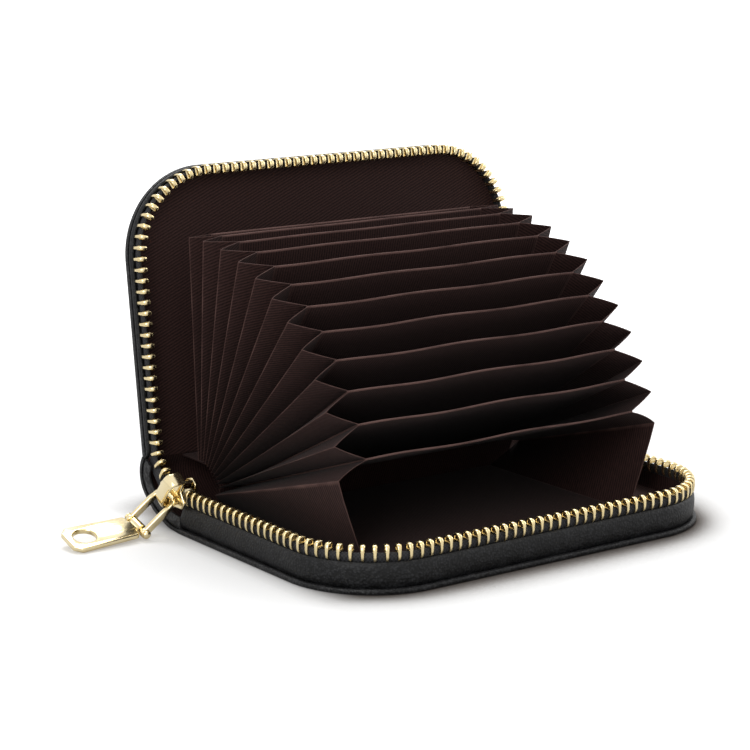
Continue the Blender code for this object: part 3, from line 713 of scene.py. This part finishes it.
def tooth_form():
    """One tooth: X along the chain, Y outwards, Z towards the tip, origin on the rim plane."""
    form = bmesh.new()
    wire = ((-1, -0.45), (-0.7, -1), (0.7, -1), (1, -0.45))
    wire += tuple((-w, -h) for w, h in wire)
    section = [(w * WIRE_HALF, h * WIRE_THICK) for w, h in wire]
    half = (
        ((0.52, -2.92), (0.80, 0.55)),
        ((0.92, -2.45), (0.95, 0.90)),
        ((1.06, -1.70), (1.00, 1.00)),
        ((1.03, -0.60), (1.15, 1.00)),
        ((0.94, 0.10), (1.35, 1.05)),
        ((0.55, 0.50), (1.45, 1.05)),
    )
    path = [(Vector((0.0, n, u)) * MM, share) for (n, u), share in half]
    path.append((Vector((0.0, 0.0, 0.56)) * MM, (1.45, 1.05)))
    path += [(Vector((0.0, -p.y, p.z)), share) for p, share in reversed(path[:-1])]
    loft(sweep(path, section), form=form)
    web = ((-0.22, -0.80), (0.22, -0.80), (0.22, 0.45), (-0.22, 0.45))
    bar = [(0.52 * across, -0.72 + 0.24 * up) for across, up in circle(6)]
    for shape in (web, bar):
        rings = [[Vector((x, n, u)) * MM for x, u in shape] for n in (-YOKE_INSIDE, YOKE_INSIDE)]
        loft(rings, form=form)
    bmesh.ops.recalc_face_normals(form, faces=form.faces)
    return form


tooth_mesh = bpy.data.meshes.new("tooth")
form = tooth_form()
form.to_mesh(tooth_mesh)
form.free()
tooth_mesh.shade_smooth()
tooth_mesh.set_sharp_from_angle(angle=math.radians(50))
one_tooth = bpy.data.objects.new("one_tooth", tooth_mesh)


def row_tree(name):
    """A node tree that stands copies of a small part at an even pitch along a path."""
    tree = bpy.data.node_groups.new(name, "GeometryNodeTree")
    for label, way, kind in (
        ("Path", "INPUT", "Geometry"),
        ("Part", "INPUT", "Object"),
        ("Pitch", "INPUT", "Float"),
        ("Finish", "INPUT", "Material"),
        ("Row", "OUTPUT", "Geometry"),
    ):
        tree.interface.new_socket(label, in_out=way, socket_type="NodeSocket" + kind)
    given = add_node(tree, "NodeGroupInput")
    line = add_node(tree, "GeometryNodeMeshToCurve", {0: given.outputs["Path"]})
    length = add_node(tree, "GeometryNodeCurveLength", {0: line})
    steps = add_node(tree, "ShaderNodeMath", {0: length, 1: given.outputs["Pitch"]}, operation="DIVIDE")
    count = add_node(tree, "ShaderNodeMath", {0: steps}, {1: 1.5})
    points = add_node(tree, "GeometryNodeResampleCurve", {"Curve": line, "Count": count}, mode="COUNT")
    tangent = add_node(tree, "GeometryNodeInputTangent")
    turned = add_node(
        tree, "FunctionNodeAlignRotationToVector", {"Vector": tangent}, axis="X", pivot_axis="Z"
    )
    part = add_node(tree, "GeometryNodeObjectInfo", {"Object": given.outputs["Part"]})
    stand = add_node(
        tree,
        "GeometryNodeInstanceOnPoints",
        {"Points": points, "Instance": part.outputs["Geometry"], "Rotation": turned},
    )
    real = add_node(tree, "GeometryNodeRealizeInstances", {0: stand})
    dress = add_node(
        tree, "GeometryNodeSetMaterial", {"Geometry": real, "Material": given.outputs["Finish"]}
    )
    add_node(tree, "NodeGroupOutput", {0: dress})
    return tree


even_row = row_tree("even_row_on_a_path")


def as_mesh(maker):
    """The mesh that a curve or a modifier makes, after which its object is dropped."""
    bpy.context.view_layer.update()
    shaped = maker.evaluated_get(bpy.context.evaluated_depsgraph_get())
    mesh = bpy.data.meshes.new_from_object(shaped)
    bpy.data.objects.remove(maker)
    return mesh


def stand_row(name, points, part, pitch, finish, place):
    """Run the row tree on a path of points and keep the result as a plain mesh."""
    line = bpy.data.meshes.new(name + "_path")
    line.from_pydata(points, [(i, i + 1) for i in range(len(points) - 1)], [])
    carrier = new_object(name + "_path", line)
    step = carrier.modifiers.new("row", "NODES")
    step.node_group = even_row
    given = {"Part": part, "Pitch": pitch, "Finish": finish}
    for item in even_row.interface.items_tree:
        if item.name in given:
            step[item.identifier] = given[item.name]
    carrier.update_tag()
    mesh = as_mesh(carrier)
    mesh.name = name
    for point in mesh.vertices:
        point.co = place(*point.co)
    return new_object(name, mesh)


for cover, _, place in COVERS:
    first = CHAIN_START + TOOTH_PITCH * PHASE[cover]
    last = first + TOOTH_PITCH * (TEETH - 1)
    path = [(*rim(distance, CORD_OFFSET), 0.0) for distance in stations(first, last, 0.35 * MM)]
    piece = stand_row(
        f"{cover}_teeth",
        path,
        one_tooth,
        TOOTH_PITCH,
        tooth_gold,
        place=lambda x, y, z, put=place: put(x, y, -z),
    )
    if cover == "upper":
        piece.data.flip_normals()
    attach(piece, f"{cover}_cover")
    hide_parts(f"{cover}_zip_teeth")


# Pocket walls: thirteen leaves of the lining fabric, doubled and hemmed at the mouth, that
# fan out from the fold. They share one slow wave, as cloth that was pressed together does.
WALL_HALF = 39.2 * MM
FAN_X = -2.1 * MM
WALL_THICK = 0.42 * MM
WALL_LENGTH = 54.0 * MM
WALL_FOOT = 0.6 * MM
ROOT_SETBACK = 5.2 * MM
STACK = 2.35 * MM
GLUE_GAP = 0.15 * MM
ROOT_THICK = 0.45 * MM
POCKETS = 12
WALL_PITCH = (LOWER_DEPTH + UPPER_DEPTH - 2 * STACK - 2 * GLUE_GAP - ROOT_THICK) / POCKETS
FIRST_HEIGHT = STACK + GLUE_GAP + ROOT_THICK / 2 - LOWER_DEPTH
FIRST_ROOT_TURN = math.radians(50.25)
FIRST_ANGLE, NEXT_ANGLE, LAST_ANGLE = 18.5, 7.25, 4.0
WAVE_HEIGHT = 0.22 * MM
WAVE_LENGTH = 37 * MM
HEM_DEPTH = 2.3 * MM
# Most painted shade, at the roots of the walls and gussets.
DARKEST_PAINTED_SHADE = 0.72


def ahead(angle):
    """Direction out along a wall, in the fold's plane."""
    return Vector((0.0, -math.cos(angle), math.sin(angle)))


def above(angle):
    """Direction square to a wall."""
    return Vector((0.0, math.sin(angle), math.cos(angle)))


HINGE = Vector((0.0, HINGE_Y, HINGE_Z))
lift = FIRST_HEIGHT + WALL_PITCH
root = HINGE + ahead(FIRST_ROOT_TURN) * ROOT_SETBACK + above(FIRST_ROOT_TURN) * lift
angle = math.radians(FIRST_ANGLE)
roots = [(HINGE + Vector((0.0, -ROOT_SETBACK, FIRST_HEIGHT)), 0.0), (root, angle)]
for index in range(2, POCKETS + 1):
    root = roots[-1][0] + above(angle) * WALL_PITCH
    angle += math.radians(LAST_ANGLE if index == POCKETS else NEXT_ANGLE)
    roots.append((root, angle))


def wall_wave(x, reach, index):
    """Height of a wall's slow wave over its flat line."""
    share = (reach / WALL_LENGTH) ** 2
    return WAVE_HEIGHT * share * math.sin(2 * math.pi * x / WAVE_LENGTH + 0.5 * index)


def painted_shade_share(reach):
    """The share of painted shade at a place on a wall or gusset, growing down towards the roots."""
    return DARKEST_PAINTED_SHADE * max(0.0, 1.0 - reach / (0.80 * WALL_LENGTH)) ** 0.8


WALL_BODIES = ["lower_cover"] + [f"wall_{number:02d}" for number in range(POCKETS - 1, -1, -1)]
for index, (root, angle) in enumerate(roots):
    rings, cloth, deep = [], [], []
    reaches = stations(WALL_FOOT, WALL_LENGTH - 0.9 * MM, 2.4 * MM)
    reaches += [WALL_LENGTH - 0.6 * MM, WALL_LENGTH - 0.25 * MM, WALL_LENGTH]
    across = stations(-WALL_HALF, WALL_HALF, 1.9 * MM)
    for reach in reaches:
        to_mouth = WALL_LENGTH - reach
        thick = WALL_THICK / 2 * (0.45 if to_mouth <= 0 else 1.0)
        if 0 < to_mouth < HEM_DEPTH:
            thick *= 1.12
        ring = []
        for side, line in ((1, across), (-1, reversed(across))):
            for x in line:
                rise = wall_wave(x, reach, index) + side * thick
                spot = root + ahead(angle) * reach + above(angle) * rise
                ring.append(spot + Vector((FAN_X + x, 0, 0)))
                at_side = 0.6 if WALL_HALF - abs(x) < 0.3 * MM else 0.0
                pale = 1.0 if to_mouth < 0.5 * MM else at_side
                cloth.append((x * 1000, reach * 1000, pale))
                # Painted shade, growing towards the wall's root.
                deep.append(0.6 * painted_shade_share(reach))
        rings.append(ring)
    form, _ = loft(rings)
    number = POCKETS - index
    name = f"wall_leaf_{number:02d}"
    node = f"pocket_wall_{number:02d}"
    piece = finish_piece(name, form, WALL_BODIES[index], node, brown_twill, sharp=70)
    set_cloth(piece, cloth, deep)


# Gussets: a folded strip of the same fabric closes each end of each pocket, its ridge pressed
# outwards, so the ends make the sharp zigzag of a bellows. The lowest pocket opens widest, and
# its ridge stands near its upper wall.
GUSSET_REACH = 7.5 * MM
GUSSET_THICK = 0.18 * MM
GUSSET_SEAT = 0.14 * MM
GUSSET_OVERLAP = 0.12 * MM
RIDGE_SHARE = 0.5
FIRST_RIDGE_SHARE = 0.85
BULGE_SHARE = 0.05
ACROSS = (0.0, 0.1, 0.2, 0.3, 0.4, 0.47, 0.5, 0.53, 0.6, 0.7, 0.8, 0.9, 1.0)
for index in range(POCKETS):
    number = POCKETS - index
    low_root, low_angle = roots[index]
    high_root, high_angle = roots[index + 1]
    share = RIDGE_SHARE if index else FIRST_RIDGE_SHARE
    for word, side in (("left", -1), ("right", 1)):
        rings, cloth, deep = [], [], []
        reaches = stations(WALL_FOOT, WALL_LENGTH - 0.3 * MM, 3.4 * MM) + [WALL_LENGTH]
        for reach in reaches:
            low_wave = wall_wave(side * WALL_HALF, reach, index)
            high_wave = wall_wave(side * WALL_HALF, reach, index + 1)
            low = low_root + ahead(low_angle) * reach
            low += above(low_angle) * (GUSSET_SEAT + low_wave)
            high = high_root + ahead(high_angle) * reach
            high += above(high_angle) * (high_wave - GUSSET_SEAT)
            ridge = low.lerp(high, share)
            bulge = BULGE_SHARE * (high - low).length
            upward = (high - low).normalized()
            outer, inner = [], []
            for t in ACROSS:
                past = t - 0.5
                half = (past > 0.01) - (past < -0.01)
                spot = ridge.lerp(high, t * 2 - 1) if half > 0 else low.lerp(ridge, t * 2)
                out = 1 - abs(past) * 2
                round_off = 0.25 * MM * max(0.0, 1 - abs(past) / 0.06)
                reach_out = (GUSSET_REACH + GUSSET_OVERLAP) * out - GUSSET_OVERLAP - round_off
                lean = upward * (bulge * math.sin(math.pi * out) * half * 0.35)
                edge = Vector((FAN_X + side * (WALL_HALF + reach_out), 0, 0))
                outer.append(spot + edge + lean)
                pull = Vector((-side * GUSSET_THICK * 0.9, 0, 0))
                squeeze = upward * (-half * GUSSET_THICK * 0.35)
                inner.append(spot + edge + lean + pull + squeeze)
                at_mouth = 0.8 if WALL_LENGTH - reach < 0.1 * MM else 0.0
                pale = max(at_mouth, 1 - abs(past) / 0.03)
                cloth.append((reach * 900 + out * 3.2, reach * 430 + out * 7.0, pale))
                # Painted shade towards the roots, kept lighter on the ridge as painted light where the
                # fold faces out.
                deep.append(painted_shade_share(reach) * (0.25 + 0.75 * min(1.0, abs(past) / 0.12)))
            cloth += cloth[-len(ACROSS) :][::-1]
            deep += deep[-len(ACROSS) :][::-1]
            rings.append(outer + inner[::-1])
        form, _ = loft(rings)
        name = f"{word}_gusset_leaf_{number:02d}"
        node = f"gusset_{word}_{number:02d}"
        piece = finish_piece(name, form, None, node, brown_twill, sharp=50)
        set_cloth(piece, cloth, deep)
        start = low_root + ahead(low_angle) * WALL_LENGTH
        end = high_root + ahead(high_angle) * WALL_LENGTH
        start.x = end.x = FAN_X + side * WALL_HALF
        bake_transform(piece)


# Strip behind the pockets: a band of lining fabric glued across the roots of the walls, from
# the lower lining to the upper one. It runs on past the walls and closes the gussets' ends.
STRIP_HALF = WALL_HALF + 5.5 * MM
STRIP_THICK = 0.30 * MM
STRIP_SETBACK = 0.35 * MM
strip = [HINGE + Vector((0.0, STRIP_SETBACK - ROOT_SETBACK, FIRST_HEIGHT - ROOT_THICK / 2))]
strip += [root - ahead(angle) * STRIP_SETBACK for root, angle in roots[1:]]
strip.append(upper_place(0.0, -ROOT_SETBACK, UPPER_DEPTH - STACK - GLUE_GAP))
UPPER_BACK = upper_place(0.0, -PANEL_BACK, UPPER_DEPTH)


def walk(line):
    """Each point of a line in the fold's plane, with its outward normal and the run to it."""
    run = 0.0
    for i, place in enumerate(line):
        way = line[min(i + 1, len(line) - 1)] - line[max(i - 1, 0)]
        if i:
            run += (place - line[i - 1]).length
        yield place, Vector((0.0, -way.z, way.y)).normalized(), run


def sheet_rings(line, outer, inner, low_x, high_x, step, wrinkle=None):
    """Rings for a sheet along X on a line in the fold's plane, with its cloth coordinates."""
    rings, cloth = [], []
    across = stations(low_x, high_x, step)
    for place, normal, run in walk(line):
        ring = []
        for level, xs in ((outer, across), (inner, reversed(across))):
            for x in xs:
                push = wrinkle(x, run) if wrinkle else 0.0
                ring.append(place + normal * (level + push) + Vector((x, 0, 0)))
                cloth.append((x * 1000, run * 1000, 0.0))
        rings.append(ring)
    return rings, cloth


rings, cloth = sheet_rings(strip, -STRIP_THICK, 0.0, FAN_X - STRIP_HALF, FAN_X + STRIP_HALF, 6.0 * MM)
form, _ = loft(rings)
piece = finish_piece("pocket_root_strip", form, None, "pocket_back_strip", brown_twill)
set_cloth(piece, cloth)
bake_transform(piece)


# Spine: soft thin leather that joins the two covers at the back, with its own lining, and a
# puckered leather end tab at each end, where the zip's tapes are tucked in.
SPINE_HALF = 56.8 * MM
SPINE_STEPS = 32
back = PANEL_BACK - 0.3 * MM
spine_start = HINGE + Vector((0.0, -back, 0.1 * MM - LOWER_DEPTH))
spine_end = upper_place(0.0, -back, UPPER_DEPTH)
handles = (
    spine_start,
    spine_start + Vector((0.0, 8.6 * MM, 0.0)),
    spine_end + Vector((0.0, 4.6 * MM, -7.7 * MM)),
    spine_end,
)
spine = []
for i in range(SPINE_STEPS + 1):
    t = i / SPINE_STEPS
    weights = ((1 - t) ** 3, 3 * t * (1 - t) ** 2, 3 * t * t * (1 - t), t**3)
    spine.append(sum((h * w for h, w in zip(handles, weights)), Vector((0, 0, 0))))


def spine_creases(x, run):
    """Soft lengthwise creases of the bent leather, and finer puckers towards its ends."""
    end = max(0.0, (abs(x) - 46 * MM) / (11 * MM))
    long = 0.06 * MM * math.sin(run / (1.05 * MM) + 1.7 * math.sin(x / (13 * MM)))
    short = 0.12 * MM * end * math.sin(x / (0.6 * MM) + run / (1.1 * MM))
    return long + short


run_on = (spine[-1] - spine[-2]).normalized()
longer = spine + [spine[-1] + run_on * 0.75 * MM]
rings, cloth = sheet_rings(longer, 0.05 * MM, 0.95 * MM, -SPINE_HALF, SPINE_HALF, 0.9 * MM, spine_creases)
form, _ = loft(rings)
piece = finish_piece("soft_spine", form, None, "spine_leather", black_leather, sharp=60)
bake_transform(piece)

longer = spine + [spine[-1] + run_on * 1.6 * MM]
rings, cloth = sheet_rings(
    longer, 1.40 * MM, 1.72 * MM, -SPINE_HALF + 1.1 * MM, SPINE_HALF - 1.1 * MM, 4.0 * MM
)
form, _ = loft(rings)
piece = finish_piece("spine_inner_cloth", form, None, "spine_lining", brown_twill)
set_cloth(piece, cloth)
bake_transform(piece)

END_TAB_LEVEL = 1.15 * MM
END_TAB_WIDTH = 2.9 * MM
PUCKER = 0.16 * MM
tucked = [spine[0] + (spine[0] - spine[1]).normalized() * 0.45 * MM, *spine]
tucked.append(spine[-1] + run_on * 0.95 * MM)
for word, side in (("left", -1), ("right", 1)):
    rings = []
    for place, normal, run in walk(tucked):
        ring = []
        for step in range(9):
            rise = math.sin(math.pi * step / 8)
            pucker = PUCKER * math.sin(run / (0.7 * MM) + step * 0.9)
            x = side * (SPINE_HALF - 0.35 * MM + (0.28 * MM + pucker) * rise)
            inward = normal * (END_TAB_LEVEL + END_TAB_WIDTH * step / 8)
            ring.append(place + inward + Vector((x, 0, 0)))
        x = side * (SPINE_HALF - 0.8 * MM)
        for step in (8, 4, 0):
            inward = normal * (END_TAB_LEVEL + END_TAB_WIDTH * step / 8)
            ring.append(place + inward + Vector((x, 0, 0)))
        rings.append(ring)
    form, _ = loft(rings)
    piece = finish_piece(
        f"{word}_zip_end_leather", form, None, f"zip_end_tab_{word}", painted_lit_leather, sharp=60
    )
    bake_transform(piece)


# Slider: two plates joined by a post, tilted halfway between the covers. The outer plate has
# swept wings, the upper one further back, and the inner plate is small. Cast in zinc, plated
# pale gold and tumbled to soft edges.
slider_gold = polished_metal("polished_pale_gold", ("#ead6a2", "#f6e8c4"), 0.14)
PLATE = 0.9 * MM
PLATE_EDGE = 0.28 * MM
OUTER_FACE = -RIM_LENGTH / 2 - 0.5 * MM
INNER_FACE = -RIM_LENGTH / 2 + 3.0 * MM
slider_frame = Matrix.Translation(HINGE + Vector((0.0, -5.1, 0.7)) * MM)
slider_frame = slider_frame @ Matrix.Rotation(-OPEN_ANGLE / 2, 4, "X")


def plate_mesh(outline, holes, thick, edge, turn):
    """A flat plate with rounded edges from a 2D outline and its holes, placed by a matrix."""
    curve = bpy.data.curves.new("plate", "CURVE")
    curve.dimensions = "2D"
    curve.fill_mode = "BOTH"
    curve.extrude = thick / 2 - edge
    curve.bevel_depth = edge
    curve.bevel_resolution = 3
    curve.offset = -edge
    for points in (outline, *holes):
        spline = curve.splines.new("POLY")
        spline.points.add(len(points) - 1)
        for spot, (x, y) in zip(spline.points, points):
            spot.co = (x, y, 0.0, 1.0)
        spline.use_cyclic_u = True
    form = bmesh.new()
    form.from_mesh(as_mesh(new_object("plate", curve)))
    bmesh.ops.remove_doubles(form, verts=form.verts, dist=0.002 * MM)
    form.transform(turn)
    return form


def rounded(corners, radius, steps=5):
    """A polygon of corners in millimetres, with its corners rounded."""
    out = []
    spots = [Vector([number * MM for number in corner]) for corner in corners]
    for i, spot in enumerate(spots):
        before = spots[i - 1] - spot
        after = spots[(i + 1) % len(spots)] - spot
        cut = min(radius / math.tan(before.angle(after) / 2), 0.45 * before.length)
        cut = min(cut, 0.45 * after.length)
        first = spot + before.normalized() * cut
        last = spot + after.normalized() * cut
        for step in range(steps + 1):
            t = step / steps
            out.append((1 - t) ** 2 * first + 2 * t * (1 - t) * spot + t * t * last)
    return [(p.x, p.y) for p in out]


OUTER_NOSE_AND_LOWER_WING = ((-4.8, -1.5), (-2.0, -2.0), (-1.1, -5.1), (0.9, -5.2), (3.0, -2.9))
OUTER_TAIL_AND_UPPER_WING = ((4.8, -1.9), (5.5, 3.4), (5.2, 4.6), (3.2, 5.2), (1.2, 2.2), (-4.8, 1.5))
INNER_LOWER_SIDE = ((-2.4, -1.1), (-0.4, -2.4), (1.4, -2.4), (4.0, -1.9))
INNER_UPPER_SIDE = tuple((x, -y) for x, y in reversed(INNER_LOWER_SIDE))
outer_outline = rounded(OUTER_NOSE_AND_LOWER_WING + OUTER_TAIL_AND_UPPER_WING, 0.8 * MM)
inner_outline = rounded(INNER_LOWER_SIDE + INNER_UPPER_SIDE, 0.8 * MM)
POST_SECTION = ((-0.7, -0.8), (-2.3, -0.45), (-2.3, 0.45), (-0.7, 0.8))
stand = Matrix(((0, 0, 1, 0), (1, 0, 0, 0), (0, 1, 0, 0), (0, 0, 0, 1)))
plates = bmesh.new()
post = []
for x, outline in ((OUTER_FACE - PLATE / 2, outer_outline), (INNER_FACE + PLATE / 2, inner_outline)):
    turn = slider_frame @ Matrix.Translation((x, 0, 0)) @ stand
    form = plate_mesh(outline, [], PLATE, PLATE_EDGE, turn)
    mesh = bpy.data.meshes.new("side")
    form.to_mesh(mesh)
    form.free()
    plates.from_mesh(mesh)
    post.append([slider_frame @ Vector((x, y * MM, z * MM)) for y, z in POST_SECTION])
loft(post, form=plates)
finish_piece("slider_plates", plates, "slider", "slider_body", slider_gold, sharp=35)


# Joined end of the two zip tapes: the last stretch of the upper tape, which leaves the cover's
# edge and bends down into the slider's tail, with its last four teeth.
LEAD_TEETH = 4
LEAD_LENGTH = LEAD_TEETH * TOOTH_PITCH
LEAD_STEPS = 12
LEAD_CLOTH = 0.87
LEAD_SECTION = ((0.25, -5.4), (0.25, -3.0), (0.52, -2.3), (0.0, -1.8), (-0.52, -2.3), (-0.2, -5.4))
lead = upper_place(0.0, -CHAIN_START - TOOTH_PITCH, 0.0)
lead_points = (lead, lead + Vector((0.0, -0.3, -5.2)) * MM, lead + Vector((0.0, -5.9, -7.6)) * MM)


def along_lead(share):
    """A place on the bent stretch of chain and the direction of the teeth's tips there."""
    a, b, c = lead_points
    spot = a.lerp(b, share).lerp(b.lerp(c, share), share)
    way = ((b - a).lerp(c - b, share)).normalized()
    return spot, Vector((0.0, way.z, -way.y))


rings, cloth = [], []
for step in range(LEAD_STEPS + 1):
    spot, tip = along_lead(step / LEAD_STEPS)
    spot.x = -RIM_LENGTH / 2 - CORD_OFFSET
    rings.append([spot + Vector((x * MM, 0, 0)) + tip * deep * MM for x, deep in LEAD_SECTION])
    cloth += [(step * LEAD_CLOTH, deep, 0.5) for x, deep in LEAD_SECTION]
form, _ = loft(rings)
piece = finish_piece("joined_tape_end", form, None, "zip_end_tape", black_tape)
set_cloth(piece, cloth)
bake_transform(piece)


def on_lead(x, y, z):
    """Bend a straight row of teeth on to the bent stretch of chain."""
    spot, tip = along_lead((y + 0.5 * TOOTH_PITCH) / LEAD_LENGTH)
    return Vector((x, spot.y, spot.z)) + tip * z


at = -RIM_LENGTH / 2 - CORD_OFFSET
path = [(at, TOOTH_PITCH * step / 2, 0.0) for step in range(1, 2 * LEAD_TEETH)]
piece = stand_row("joined_end_teeth", path, one_tooth, TOOTH_PITCH, tooth_gold, place=on_lead)
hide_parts("zip_end_tape")
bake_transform(piece)


# Arch: one flat strap along the slider, cast with it, which bends down to the outer plate at
# nose and tail. The pull's link hangs in it and slides to the nose when the zip is drawn.
ARCH_FACE = OUTER_FACE - PLATE - 0.15 * MM
ARCH_MIDDLE = -0.7 * MM
ARCH_SIDE = -0.35 * MM
ARCH_RISE = 3.2 * MM
ARCH_HALF = 4.35 * MM
STRAP_HALF = 1.85 * MM
STRAP_THICK = 0.4 * MM


def flattened(value, power):
    """A sine or cosine pushed outwards, so that a circle becomes a rounded rectangle."""
    return math.copysign(abs(value) ** power, value)


rings = []
for i in range(33):
    angle = math.pi * i / 32
    out = flattened(math.sin(angle), 0.5)
    along = -flattened(math.cos(angle), 0.5)
    ring = []
    for side, face in circle(12):
        wide = flattened(side, 0.5) * STRAP_HALF
        thick = flattened(face, 0.8) * STRAP_THICK
        x = ARCH_FACE - (ARCH_RISE + thick) * out
        y = ARCH_MIDDLE + (ARCH_HALF + thick) * along
        ring.append(slider_frame @ Vector((x, y, wide + ARCH_SIDE)))
    rings.append(ring)
form, _ = loft(rings)
finish_piece("slider_arch", form, "slider", "slider_bridge", slider_gold, sharp=50)


# Pull link: a flat strip bent on edge to a U and closed by the pin, its eyes rounded over the
# pin, which ends in a ball on each side. It is rolled a little, so its front arm hangs lower.
LINK_LENGTH = 10.2 * MM
LINK_HALF = 3.35 * MM
LINK_CORNER = 2.1 * MM
LINK_LEAN = math.radians(49.0)
LINK_ROLL = math.radians(16.5)
LINK_SAG = 0.8 * MM
STRIP_EDGE = 0.65 * MM
swing = Matrix.Translation(HINGE + Vector((ARCH_FACE - 1.25 * MM, -4.1 * MM, -0.1 * MM)))
swing = swing @ Matrix.Rotation(LINK_ROLL, 4, "X")
link_frame = swing @ Matrix.Rotation(-LINK_LEAN, 4, "Y")
path = []
for x, deep in ((-10.6, 0.95), (-9.6, 1.0), (-7.6, 1.0), (-5.6, 1.0), (-3.5, 0.95), (-2.6, 0.75)):
    path.append((Vector((x * MM, -LINK_HALF, 0)), Vector((0, -1, 0)), deep * MM))
for i in range(9):
    turn = math.pi / 2 * i / 8
    out = Vector((math.sin(turn), -math.cos(turn), 0))
    bend = Vector((-LINK_CORNER, -LINK_HALF + LINK_CORNER, 0))
    path.append((bend + out * LINK_CORNER, out, 0.6 * MM))
for place, out, deep in reversed(list(path)):
    path.append((Vector((place.x, -place.y, 0)), Vector((out.x, -out.y, 0)), deep))
rings = []
for place, out, deep in path:
    ring = []
    sag = LINK_SAG * (1.0 + place.x / LINK_LENGTH)
    for side, face in circle(16):
        wide = flattened(side, 0.6) * STRIP_EDGE
        high = flattened(face, 0.6) * deep
        ring.append(link_frame @ (place + out * wide + Vector((0, 0, high - sag))))
    rings.append(ring)
link, _ = loft(rings)


def lathe(form, profile, frame, middle=0.0, steps=20):
    """Add a turned part: a profile of place along the local Y axis and radius, in millimetres."""
    rings = []
    for place, radius in profile:
        spots = [(radius * x * MM, middle + place * MM, radius * z * MM) for x, z in circle(steps)]
        rings.append([frame @ Vector(spot) for spot in spots])
    loft(rings, form=form)


eye_frame = link_frame @ Matrix.Translation((-LINK_LENGTH, 0, 0))
eye = ((-0.65, 0.98), (-0.5, 1.15), (0.5, 1.15), (0.65, 0.98))
for middle in (-LINK_HALF, LINK_HALF):
    lathe(link, eye, eye_frame, middle)
finish_piece("pull_link_strip", link, "pull_link", "pull_link", slider_gold, sharp=50)

pin = bmesh.new()
ball = [(-5.05, 0.15), (-5.0, 0.42), (-4.82, 0.78), (-4.55, 1.02), (-4.3, 1.08), (-4.15, 0.98)]
ball.append((-4.14, 0.5))
lathe(pin, ball + [(-y, radius) for y, radius in reversed(ball)], eye_frame)
finish_piece("ball_ended_pin", pin, "pull_link", "link_pin", slider_gold, sharp=60)


# Pull tab: a flat plate with bevelled edges and clipped far corners, narrowed to a knuckle on
# the pin, with a countersunk round hole near its free end. Polished pale gold like the slider.
drop = Vector((-LINK_LENGTH * math.cos(LINK_LEAN), 0, -LINK_LENGTH * math.sin(LINK_LEAN)))
tab_frame = swing @ Matrix.Translation(drop) @ Matrix.Rotation(math.radians(-2.6), 4, "Y")
TAB_SIDE = ((-0.4, -1.80), (-1.5, -1.80), (-1.7, -4.20), (-17.0, -4.90), (-18.7, -3.0))
outline = rounded(TAB_SIDE + tuple((x, -y) for x, y in reversed(TAB_SIDE)), 0.9 * MM)
HOLE_PLACE = -14.1 * MM
HOLE_RADIUS = 2.75 * MM
hole = [(HOLE_PLACE + HOLE_RADIUS * x, HOLE_RADIUS * y) for x, y in circle(32)]
tab = plate_mesh(outline, [hole], 1.35 * MM, 0.38 * MM, tab_frame)
knuckle = ((-2.0, 1.05), (-1.85, 1.28), (1.85, 1.28), (2.0, 1.05))
lathe(tab, knuckle, tab_frame, steps=24)
finish_piece("flat_pull_tab", tab, "pull_tab", "pull_tab", slider_gold, sharp=35)


low, high = cad_box
